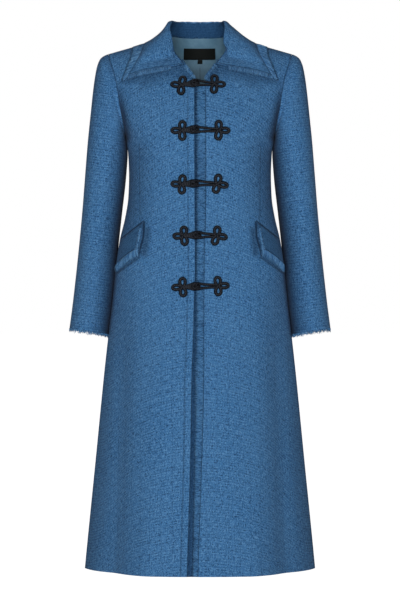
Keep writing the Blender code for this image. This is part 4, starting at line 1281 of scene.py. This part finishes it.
def strands(rng, root, way, side, up, length, thick, sway, bow, droop=0.0, loft=1.0, even=False):
    """Tapering three-sided yarns, one block each, with their own lean, wave and shade."""
    count = len(root)
    thick = np.full(count, thick) if even else thick * rng.uniform(0.7, 1.3, count)
    at = YARN_AT
    lean = rng.normal(0, sway, count)[:, None]
    wave = rng.normal(0, 0.05, count)[:, None]
    phase = rng.uniform(0, 6.3, count)[:, None]
    arch = np.abs(rng.normal(bow, bow * 0.8 + 0.01, count))[:, None]
    long = length[:, None]
    sideways = long * (lean * at ** 1.5 + wave * np.sin(phase + 7 * at) * at)
    rise = long * (arch * np.sin(math.pi * at) - droop * at ** 2)
    rise = rise * np.broadcast_to(loft, count)[:, None]
    line = (root[:, None] + way[:, None] * (long * at)[..., None]
            + side[:, None] * sideways[..., None] + up[:, None] * rise[..., None])
    corner = np.arange(YARN_SIDES + 1)
    turn = 2 * math.pi * corner / YARN_SIDES
    girth = thick[:, None] * YARN_FULL
    ring = (side[:, None, None] * np.cos(turn)[None, None, :, None]
            + up[:, None, None] * np.sin(turn)[None, None, :, None])
    points = line[:, :, None] + ring * girth[..., None, None]
    uv = np.empty((count, len(at), len(corner), 2))
    uv[..., 0] = (np.arange(count) + 0.5)[:, None, None] + corner / 12
    uv[..., 1] = (long * at)[..., None]
    return points, uv


def yarns(name, sets, nodes, finish_with):
    """Layers of yarns as one piece."""
    points = np.concatenate([found[0] for found in sets])
    uv = np.concatenate([found[1] for found in sets])
    return piece(name, woven(name, points, uv, (finish_with,), flip=True), nodes)


def lie_flat(t):
    """How far the collar's edging stands off the coat: least where it crosses the shoulder."""
    return 1 - 0.80 * at_shoulder(t)


# Yarns of the edgings, a row for each layer
# Collar's edge: count, start across the edging, height there, radius, least share of the length
COLLAR_YARNS = ((1700, 0.0, 0.0040, 0.00050, 0.80), (1700, 0.02, 0.0028, 0.00048, 0.92),
                (1000, 0.30, 0.0034, 0.00044, 0.90))
# Ground band under them: place across the edging, height
COLLAR_BAND = ((0.02, 0.0036), (0.30, 0.0028), (0.62, 0.0016))
# Collar's front edge: count, height over the edge, length, radius
LEAD_YARNS = ((360, 0.0008, 0.0112, 0.00042), (420, -0.0004, 0.0118, 0.00040))
# Corner of the neckline beside it: count, height over the front, length
CORNER_YARNS = ((150, 0.0014, 0.0085), (150, 0.0026, 0.0070))
CORNER_RADIUS = 0.00045
# Front strip: count to a metre, depth, radius, looseness
STRIP_YARNS = ((1500, 0.0006, 0.00050, 0.0), (1700, -0.0008, 0.00060, 1.0),
               (1500, -0.0014, 0.00055, 1.0))
# Cuffs: count, inset, length, radius
CUFF_YARNS = ((460, 0.0006, 0.0085, 0.00044), (520, 0.0016, 0.0100, 0.00040))
# Flaps: count, height over the flap, start down it, radius
FLAP_YARNS = ((360, 0.0010, 0.885, 0.00052), (420, 0.0003, 0.900, 0.00048))


def collar_trim(t, reach, out):
    """Places of the collar's edging: reach 0 on the collar's edge, 1 at the end of the fray."""
    x = EDGE_X(t) * (1 - reach) + TRIM_X(t) * reach
    root = EDGE_ROOT(t) * (1 - reach) + TRIM_ROOT(t) * reach
    return on_body(x, root, out * lie_flat(t))


def collar_edge_fringe():
    """Frayed edging along the collar's outer edge: a woven band and yarns over it."""
    rng = np.random.default_rng(11)
    share = np.linspace(-1, 1, 241)
    face = np.sign(share + 1e-9)[:, None] * np.array((1.0, 0.0, 0.0)) + np.array((0.0, 1.0, 1.0))
    rows = np.array([collar_trim(np.abs(share), *row) * face for row in COLLAR_BAND])
    band = woven("collar_edge_band", rows[None], grain(rows)[None], (boucle,), merge=False,
                 flip=True)
    band = thicken(piece("collar_edge_band", band), BAND_WALL)
    sets = []
    for count, first, high, thick, low in COLLAR_YARNS:
        share = np.sort(rng.uniform(-1, 1, count))
        t = np.abs(share)
        face = np.stack((np.where(share < 0, -1.0, 1.0), np.ones(count), np.ones(count)), -1)
        start = collar_trim(t, first, high) * face
        way = collar_trim(t, 1.0, 0.0016) * face - start
        length = np.linalg.norm(way, axis=-1) * rng.uniform(low, 1.10, count)
        way = unit(way)
        up = body_normal(place(EDGE_X(t), EDGE_ROOT(t)), EDGE_ROOT(t)) * face
        sets.append(strands(rng, start, way, *square_to(way, up), length, thick, 0.16, 0.05,
                            loft=lie_flat(t)))
    return band, yarns("collar_edge_yarns", sets, ["fringe_collar_edge"], fray)


def collar_lead_fringe(name, side):
    """Frayed edging along the collar's front edge and down the corner of the neckline."""
    rng = np.random.default_rng(23 if side > 0 else 24)
    grid = COLLAR_GRID if side > 0 else COLLAR_GRID[::-1]
    edge = grid[-1, 15:]
    far = lengths_along(edge, 0)
    line = curve_through(far, edge)
    inner = curve_through(far, grid[-3, 15:])
    sets = []
    for count, lower, reach, thick in LEAD_YARNS:
        at = np.sort(rng.uniform(0, far[-1], count))
        root = line(at)
        along = unit(line(np.minimum(at + 0.002, far[-1])) - line(np.maximum(at - 0.002, 0.0)))
        way = square_part(root - inner(at), along)
        up = np.cross(along, way)
        up = np.where(up[:, 1:2] > 0, -up, up)
        length = reach * rng.uniform(0.72, 1.12, count)
        sets.append(strands(rng, root + up * lower - way * 0.001, way, along, up, length, thick,
                            0.20, 0.05, droop=0.10))
    for count, out, reach in CORNER_YARNS:
        x = np.sort(rng.uniform(0.0125, 0.0400, count))
        root = front_neck_root(x)
        up = body_normal(place(x, root), root)
        start = on_body(x, root, np.full(count, out))
        start = start + np.stack((-0.0015 - 0.0040 * rng.random(count), 0 * x,
                                  0.0015 + 0.0020 * rng.random(count)), -1)
        way = square_part(np.tile((0.55, 0.0, -0.83), (count, 1)), up)
        if side < 0:
            start, way, up = mirrored(start), mirrored(way), mirrored(up)
        length = reach * rng.uniform(0.6, 1.15, count)
        sets.append(strands(rng, start, way, unit(np.cross(up, way)), up, length, CORNER_RADIUS,
                            0.25, 0.06))
    return yarns(name + "_yarns", sets, [name], fray)


# Ends of the strip's yarns: x above the step, then the gap to the right front and its growth
UPPER_YARN_END = -0.0103
YARN_GAP = 0.0025
YARN_GAP_GROWTH = 0.0105


def upper_yarn_end(z):
    """Where the yarns of the strip's upper length end, level with the fronts' edges."""
    return np.full_like(z, UPPER_YARN_END)


def lower_yarn_end(z):
    """Where they end lower down, leaving bare the strip's dark ground beside the right front: a
    painted shadow in a gap that widens.
    """
    return -right_edge(z) + YARN_GAP + YARN_GAP_GROWTH * (STEP_Z - z)


def front_strip(name, low, high, seed, yarn_end):
    """Frayed strip behind the edge of the left front: a ground darkened with painted shade, and
    yarns lying across it.
    """
    rng = np.random.default_rng(seed)
    z = np.linspace(low, high, 90)
    rows = []
    for x, depth in ((left_edge(z) + 0.004, 0.0), (left_edge(z) - 0.010, 0.0006),
                     (-right_edge(z) - 0.0035, 0.0022)):
        rows.append(on_body(x, root_at(x, z), np.full_like(x, -FRONT_STRIP - 0.0010 - depth)))
    rows = np.array(rows)
    ground = woven(name + "_ground", rows[None], grain(rows)[None], (strip_ground,), merge=False)
    ground = thicken(piece(name + "_ground", ground), STRIP_WALL)
    sets = []
    span = high - low
    for each, deep, thick, loose in STRIP_YARNS:
        count = int(each * span)
        z = np.sort(rng.uniform(low, high, count))
        near = left_edge(z) + 0.0035
        near_root = root_at(near, z)
        start = on_body(near, near_root, np.full(count, -FRONT_STRIP - deep))
        reach = near - yarn_end(z)
        begin = rng.uniform(0.0, 0.55, count) * loose
        start[:, 0] -= reach * begin
        reach = reach * (rng.uniform(0.86, 1.04, count) - begin)
        slant = np.maximum(rng.normal(0, 0.5, count) * loose, (low + 0.0045 - z) / reach)
        way = unit(np.stack((-np.ones(count), np.zeros(count), slant), -1))
        reach = reach * (1 - 0.35 * loose * rng.random(count))
        up = body_normal(place(near, near_root), near_root)
        sets.append(strands(rng, start, way, *square_to(way, up), reach, thick, 0.22, 0.06))
    return ground, yarns(name + "_yarns", sets, [name], strip_fray)


def cuff_fringe(name, side):
    """Frayed edging that hangs from a cuff."""
    rng = np.random.default_rng(41 if side > 0 else 42)
    points = sleeve_points(side)
    last = points[-1]
    far = lengths_along(last, 0)
    line = curve_through(far, last)
    middle = last[:-1].mean(0)
    hang = unit(middle - points[-8, :-1].mean(0))
    sets = []
    for count, inset, reach, thick in CUFF_YARNS:
        at = np.sort(rng.uniform(0, far[-1], count))
        rim = line(at)
        inward = unit(middle - rim)
        root = rim + inward * inset - hang * 0.0008
        way = np.tile(hang, (count, 1))
        clump = 0.75 + 0.25 * np.sin(at * 900 + 2 * np.sin(at * 310))
        length = reach * clump * rng.uniform(0.6, 1.15, count)
        sets.append(strands(rng, root, way, unit(np.cross(way, inward)), -inward, length, thick,
                            0.28, 0.05))
    return yarns(name + "_yarns", sets, [name], fray)


def flap_fringe(name, side):
    """Frayed edging along the lower edge and the inner end of a flap."""
    rng = np.random.default_rng(61 if side > 0 else 62)
    low = 1 + FLAP_FRINGE / (FLAP_IN_TOP[1] - FLAP_IN_LOW[1])
    sets = []
    for count, lifted, first, thick in FLAP_YARNS:
        u = np.sort(rng.uniform(0.005, 0.99, count))
        v = np.full(count, first)
        start = flap_point(u, v, flap_out(u, v) + lifted)
        tip = flap_point(u - 0.01, np.full(count, low), np.full(count, 0.0036 + lifted))
        sets.append(lay_yarns(rng, start, tip, u, 0.99, side, thick))
        v = np.sort(rng.uniform(0.10, 1.00, count // 2))
        u = rng.uniform(0.05, 0.12, len(v))
        start = flap_point(u, v, flap_out(u, v) + lifted)
        end = np.full(len(v), -0.012)
        tip = flap_point(end, v + 0.10, flap_out(end, v) + lifted * 0.5)
        sets.append(lay_yarns(rng, start, tip, u, v, side, thick))
    return yarns(name + "_yarns", sets, [name], fray)


def lay_yarns(rng, start, tip, u, v, side, thick):
    """Yarns from a flap's edge to their tips on the coat."""
    angle, root = flap_place(u, v)
    up = body_normal(angle, root)
    if side < 0:
        start, tip, up = mirrored(start), mirrored(tip), mirrored(up)
    way = tip - start
    length = np.linalg.norm(way, axis=-1) * rng.uniform(0.72, 1.1, len(way))
    way = unit(way)
    return strands(rng, start, way, *square_to(way, up), length, thick, 0.2, 0.06)


# Stitches

STITCH_PITCH = 0.0033
STITCH_LONG = 0.0024
STITCH_RADIUS = 0.00028


def stitches(name, line, up, long=STITCH_LONG):
    """A row of machine stitches along a line of points, half sunk in the cloth."""
    far = lengths_along(line, 0)
    run = curve_through(far, line)
    count = int(far[-1] / STITCH_PITCH)
    at = (np.arange(count) + 0.5) * STITCH_PITCH
    start = run(at - long / 2)
    way = unit(run(at + long / 2) - start)
    out = unit(curve_through(far, up)(at))
    points, uv = strands(np.random.default_rng(5), start, way, *square_to(way, out),
                         np.full(count, long), STITCH_RADIUS, 0.02, 0.10, even=True)
    return piece(name, woven(name, points, uv, (thread,), flip=True))


def collar_stitches():
    grid = COLLAR_GRID
    normal = unit(np.cross(np.gradient(grid, axis=1), np.gradient(grid, axis=0)))
    line = grid[:, -3] + normal[:, -3] * (WALL / 2)
    return stitches("collar_stitches", line, normal[:, -3])


def front_stitches():
    z = np.linspace(-0.120, HEM_Z + 0.004, 240)
    x = -(right_edge(z) + 0.0125)
    root = root_at(x, z)
    return stitches("front_stitches", on_body(x, root, np.full_like(x, 0.0001)),
                    body_normal(place(x, root), root), long=0.0022)


def flap_stitches(name, side):
    u = np.linspace(0.06, 0.985, 60)
    v = np.full_like(u, FLAP_SEAM)
    line = flap_point(u, v, flap_out(u, v))
    up = body_normal(*flap_place(u, v))
    if side < 0:
        line, up = mirrored(line), mirrored(up)
    return stitches(name, line, up)


# Frogs

# Cords: points along each, sides, radius, flatness, radius of the strands and of the knot's cord
CORD_STEPS = 49
CORD_SIDES = 8
CORD_RADIUS = 0.0034
CORD_FLAT = 0.72
STRAND_RADIUS = 0.0027
KNOT_CORD_RADIUS = 0.0019


def tube(path, up, radius, closed=False, flat=1.0):
    """A cord along a path: rings of points square to it, drawn to a point at open ends."""
    full = np.ones(len(path))
    if closed:
        step = np.roll(path[:-1], -1, 0) - np.roll(path[:-1], 1, 0)
        step = np.concatenate((step, step[:1]))
    else:
        step = np.gradient(path, axis=0)
        full[[0, -1]] = 0.0
    side, top = square_to(unit(step), up)
    turn = 2 * math.pi * np.arange(CORD_SIDES + 1) / CORD_SIDES
    ring = (side[:, None] * np.cos(turn)[None, :, None]
            + top[:, None] * np.sin(turn)[None, :, None] * flat)
    points = path[:, None] + ring * (full * radius)[:, None, None]
    uv = np.empty((len(path), CORD_SIDES + 1, 2))
    uv[..., 0] = np.arange(CORD_SIDES + 1) / CORD_SIDES
    uv[..., 1] = lengths_along(path, 0)[:, None]
    return points, uv


def eyelet(middle, way, long, wide, high, order):
    """Flat path of an eyelet's cord, from the trefoil's middle round and back to it."""
    t = np.linspace(0, 2 * math.pi, CORD_STEPS)
    a = long / 2 * (1 - np.cos(t))
    b = wide * 1.12 * np.sin(t) * np.sin(t / 2) ** 0.6
    line = np.stack((a, b), -1)
    turn = np.array(((math.cos(way), -math.sin(way)), (math.sin(way), math.cos(way))))
    line = line @ turn.T + middle
    near = np.exp(-(a / 0.0035) ** 2)
    cross = np.where(t > math.pi, 1.0, 0.35)
    return np.column_stack((line, high + near * cross * 0.0009 * order))


# Eyelets of a trefoil: lean from its way, length, half width
EYELETS = ((0.0, 0.0200, 0.0048), (1.66, 0.0178, 0.0060), (-1.66, 0.0182, 0.0060))
EYELET_HEIGHT = 0.0022


def trefoil(middle, way, turn):
    """Cords of the three eyelets of a frog's end."""
    base = 0.0 if way > 0 else math.pi
    return [eyelet(middle, base + turn + way * lean, long, wide, EYELET_HEIGHT, order)
            for order, (lean, long, wide) in enumerate(EYELETS)]


def spread_line(points, steps=CORD_STEPS):
    points = np.array(points, float)
    far = lengths_along(points, 0)
    return curve_through(far / far[-1], points)(np.linspace(0, 1, steps))


def lay_cord(path, x, z, tilt):
    """Puts a flat path with its heights on the fronts at the knot's place."""
    turn = math.radians(tilt)
    at_x = x + path[:, 0] * math.cos(turn) - path[:, 1] * math.sin(turn)
    at_z = z + path[:, 0] * math.sin(turn) + path[:, 1] * math.cos(turn)
    root = root_at(at_x, at_z)
    up = body_normal(place(at_x, root), root)
    return on_body(at_x, root, FROG_LIFT + path[:, 2]), up


def knot_half(reach, turn):
    """Cords of the half with the knot: trefoil and the stem that widens towards the knot."""
    paths = [(path, CORD_RADIUS) for path in trefoil(np.array((-reach, 0.0)), -1, turn)]
    for slip in (-1, 1):
        for route in (((-reach - 0.003, 0.0012, 0.0030), (-0.024, 0.0022, 0.0026),
                       (-0.016, 0.0042, 0.0028), (-0.009, 0.0062, 0.0036),
                       (-0.001, 0.0056, 0.0056)),
                      ((-reach, 0.0006, 0.0026), (-0.018, 0.0012, 0.0030),
                       (-0.010, 0.0024, 0.0044), (-0.003, 0.0026, 0.0060))):
            line = spread_line(route)
            line[:, 1] *= slip
            paths.append((line, STRAND_RADIUS))
    return paths


def loop_half(reach, turn):
    """Cords of the half with the loop: trefoil and the two strands that close round the knot."""
    paths = [(path, CORD_RADIUS) for path in trefoil(np.array((reach, 0.0)), 1, turn)]
    for slip in (-1, 1):
        line = spread_line((
            (reach + 0.003, 0.0012, 0.0030), (reach - 0.008, 0.0025, 0.0024),
            (reach * 0.62, 0.0028, 0.0022), (reach * 0.38, 0.0034, 0.0023), (0.006, 0.0046, 0.0029),
            (-0.001, 0.0060, 0.0040), (-0.0070, 0.0052, 0.0060), (-0.0105, 0.0026, 0.0068),
            (-0.0112, -0.0004, 0.0070)))
        line[:, 1] *= slip
        paths.append((line, STRAND_RADIUS))
    return paths


def frog(number, x, z, right_reach, right_tilt, right_turn, left_reach, left_tilt, left_turn):
    """A frog's two halves: trefoils, the knot with its stem, and the loop round it."""
    halves = (("knot", knot_half(right_reach, math.radians(right_turn)), right_tilt),
              ("loop", loop_half(left_reach, math.radians(left_turn)), left_tilt))
    for half, paths, tilt in halves:
        tubes = [tube(*lay_cord(path, x, z, tilt), thick, flat=CORD_FLAT) for path, thick in paths]
        if half == "knot":
            centre = lay_cord(np.array(((0.0, 0.0, KNOT),)), x, z, tilt)[0][0]
            tubes += [tube(path, out, KNOT_CORD_RADIUS, closed=True)
                      for path, out in knot_cords(centre)]
        name = f"frog_{number}_{half}"
        mesh = woven(name + "_cord", np.array([found[0] for found in tubes]),
                     np.array([found[1] for found in tubes]), (black_cord,), flip=True)
        piece(name + "_cord", mesh, [name])


def knot_cords(centre):
    """Interlaced cords of a ball knot: a long lead that crosses itself, and its heart."""
    turn = np.linspace(0, 4 * math.pi, CORD_STEPS)
    found = []
    for start, size, tall in ((0.0, KNOT - 0.0014, 0.75), (0.9, KNOT - 0.0030, 0.55)):
        height = tall * np.sin(1.5 * turn + start)
        over = size + 0.0007 * np.cos(3.0 * turn + start * 2)
        radial = np.stack((height, np.sqrt(1 - height ** 2) * np.cos(turn),
                           np.sqrt(1 - height ** 2) * np.sin(turn)), -1)
        found.append((centre + radial * over[:, None], radial))
    return found


# Neck: lining, label and tab

def lining_back(name):
    """Lining of the back inside the neck, with its pleat at the middle."""
    angle, root = panel_places(lambda z: np.zeros_like(z), BACK_NECK, True, 60, 138, 34)
    keep = slice(138 - 4, None)
    angle = angle[keep, :43]
    root = root[keep, :43]
    points = body(angle, -root)
    out = panel_normal(angle, root, True)
    deep = WALL + SEAM
    fold = (0.0011 * np.exp(-(points[..., 0] / 0.005) ** 2)
            * smooth((-0.045 - points[..., 2]) / 0.02))
    other = points - out * deep
    points = points - out * (deep + fold)[..., None]
    points[..., 1] = np.maximum(points[..., 1], SEAM / 2)
    other[..., 1] = np.maximum(other[..., 1], SEAM / 2)
    points = np.concatenate((mirrored(other[:, :0:-1]), points), 1)
    mesh = woven(name, points[None], grain(points)[None], (satin,), merge=False)
    return thicken(piece(name + "_satin", mesh, [name]), LINING, edge=0.0003)


def neck_patch(name, box, out, thick, columns, rows):
    """A bare tape patch inside the back, its face to the front."""
    x, z = np.meshgrid(np.linspace(box[0], box[1], columns + 1),
                       np.linspace(box[2], box[3], rows + 1))
    root = root_at(x, z, True)
    hug = 0.0004 * (np.abs(np.linspace(-1, 1, columns + 1)) ** 6)[None]
    points = on_body(x, root, -WALL - out - thick + hug * 0.5 * np.ones_like(x))
    mesh = woven(name, points[None], grain(points)[None], (tape,), merge=False)
    return thicken(piece(name + "_tape", mesh, [name]), thick, edge=0.0002)


front_right = front_panel("front_right", right_edge, True)
front_left = front_panel("front_left", left_edge, False)
back = back_panel("back")
sleeve_right = sleeve("sleeve_right", -1)
sleeve_left = sleeve("sleeve_left", 1)
collar_cloth = collar("collar")
flap_right = flap("flap_right", -1)
flap_left = flap("flap_left", 1)
edge_band, edge_yarns = collar_edge_fringe()
lead_right = collar_lead_fringe("fringe_collar_lead_right", -1)
lead_left = collar_lead_fringe("fringe_collar_lead_left", 1)
strip_upper, yarns_upper = front_strip("fringe_front_upper", STEP_Z + 0.0002, -0.1060, 31,
                                       upper_yarn_end)
strip_lower, yarns_lower = front_strip("fringe_front_lower", HEM_Z + 0.0002, STEP_Z - 0.0002, 32,
                                       lower_yarn_end)
cuff_right = cuff_fringe("fringe_cuff_right", -1)
cuff_left = cuff_fringe("fringe_cuff_left", 1)
fray_right = flap_fringe("fringe_flap_right", -1)
fray_left = flap_fringe("fringe_flap_left", 1)
collar_row = collar_stitches()
front_row = front_stitches()
flap_row_right = flap_stitches("flap_right_stitches", -1)
flap_row_left = flap_stitches("flap_left_stitches", 1)
for number, row in enumerate(FROGS, 1):
    frog(number, *row)
lining = lining_back("lining_back")
label = neck_patch("label", LABEL, 0.0033, 0.0008, 24, 8)
size_tab = neck_patch("size_tab", TAB, 0.0026, 0.0006, 6, 5)


# Floor, light and camera

def floor():
    made, tree, shader = finish("pale_floor", 0.8, Specular_IOR_Level=0.1)
    tone = noise(tree, object_spot(tree), 3.0, 3.0)[0]
    colour = blended(tree, tone, (0.93, 0.93, 0.93, 1.0), (0.96, 0.96, 0.96, 1.0))
    tree.links.new(colour, shader.inputs["Base Color"])
    shader.inputs["Emission Color"].default_value = (1.0, 1.0, 1.0, 1.0)
    seen = put(tree, "ShaderNodeLightPath").outputs["Is Camera Ray"]
    tree.links.new(ranged(tree, seen, 0.0, 1.0, 0.0, 1.0), shader.inputs["Emission Strength"])
    bm = bmesh.new()
    bmesh.ops.create_circle(bm, cap_ends=True, segments=64, radius=60.0)
    bmesh.ops.translate(bm, verts=bm.verts[:], vec=(0.0, 0.0, FLOOR_Z))
    mesh = bpy.data.meshes.new("pale_floor")
    bm.to_mesh(mesh)
    bm.free()
    mesh.materials.append(made)
    plane = bpy.data.objects.new("pale_floor", mesh)
    bpy.context.scene.collection.objects.link(plane)


# Soft lights in front of the coat: name, place, width, height, power
LIGHTS = (
    ("key_light", (-0.5, -5.4, -0.50), 2.2, 2.6, 178.0),
    ("fill_light", (1.0, -5.2, -0.60), 2.0, 2.6, 58.0),
)
LIGHT_AIM = (0.0, 0.0, -0.60)
WORLD_LIGHT = 0.07
# Level camera: its distance and height, its sensor in millimetres, the height it sees at the coat
CAMERA_FAR = 5.5
CAMERA_Z = -0.551
SENSOR = 24.0
PICTURE_HIGH = 1.26


def soft_light(name, spot, wide, high, power):
    """A rectangular light aimed at the coat's middle."""
    lamp = bpy.data.lights.new(name, "AREA")
    lamp.shape = "RECTANGLE"
    lamp.size = wide
    lamp.size_y = high
    lamp.energy = power
    made = bpy.data.objects.new(name, lamp)
    made.location = spot
    x, y, z = np.array(LIGHT_AIM) - np.array(spot)
    made.rotation_euler = (math.pi / 2 + math.atan2(z, math.hypot(x, y)), 0.0, math.atan2(-x, y))
    bpy.context.scene.collection.objects.link(made)


def studio():
    """White surroundings that light little, and the soft lights."""
    world = bpy.data.worlds.new("studio")
    world.use_nodes = True
    tree = world.node_tree
    shade = tree.nodes["Background"]
    seen = put(tree, "ShaderNodeLightPath").outputs["Is Camera Ray"]
    shade.inputs["Color"].default_value = (1.0, 1.0, 1.0, 1.0)
    tree.links.new(ranged(tree, seen, 0.0, 1.0, WORLD_LIGHT, 1.0), shade.inputs["Strength"])
    bpy.context.scene.world = world
    for light in LIGHTS:
        soft_light(*light)


def camera():
    lens = bpy.data.cameras.new("camera")
    lens.sensor_fit = "VERTICAL"
    lens.sensor_height = SENSOR
    lens.sensor_width = SENSOR
    lens.lens = SENSOR * CAMERA_FAR / PICTURE_HIGH
    lens.clip_end = 200.0
    made = bpy.data.objects.new("camera", lens)
    made.location = (0.0, -CAMERA_FAR, CAMERA_Z)
    made.rotation_euler = (math.pi / 2, 0.0, 0.0)
    bpy.context.scene.collection.objects.link(made)
    bpy.context.scene.camera = made


floor()
studio()
camera()
bpy.context.scene.view_settings.view_transform = "Standard"
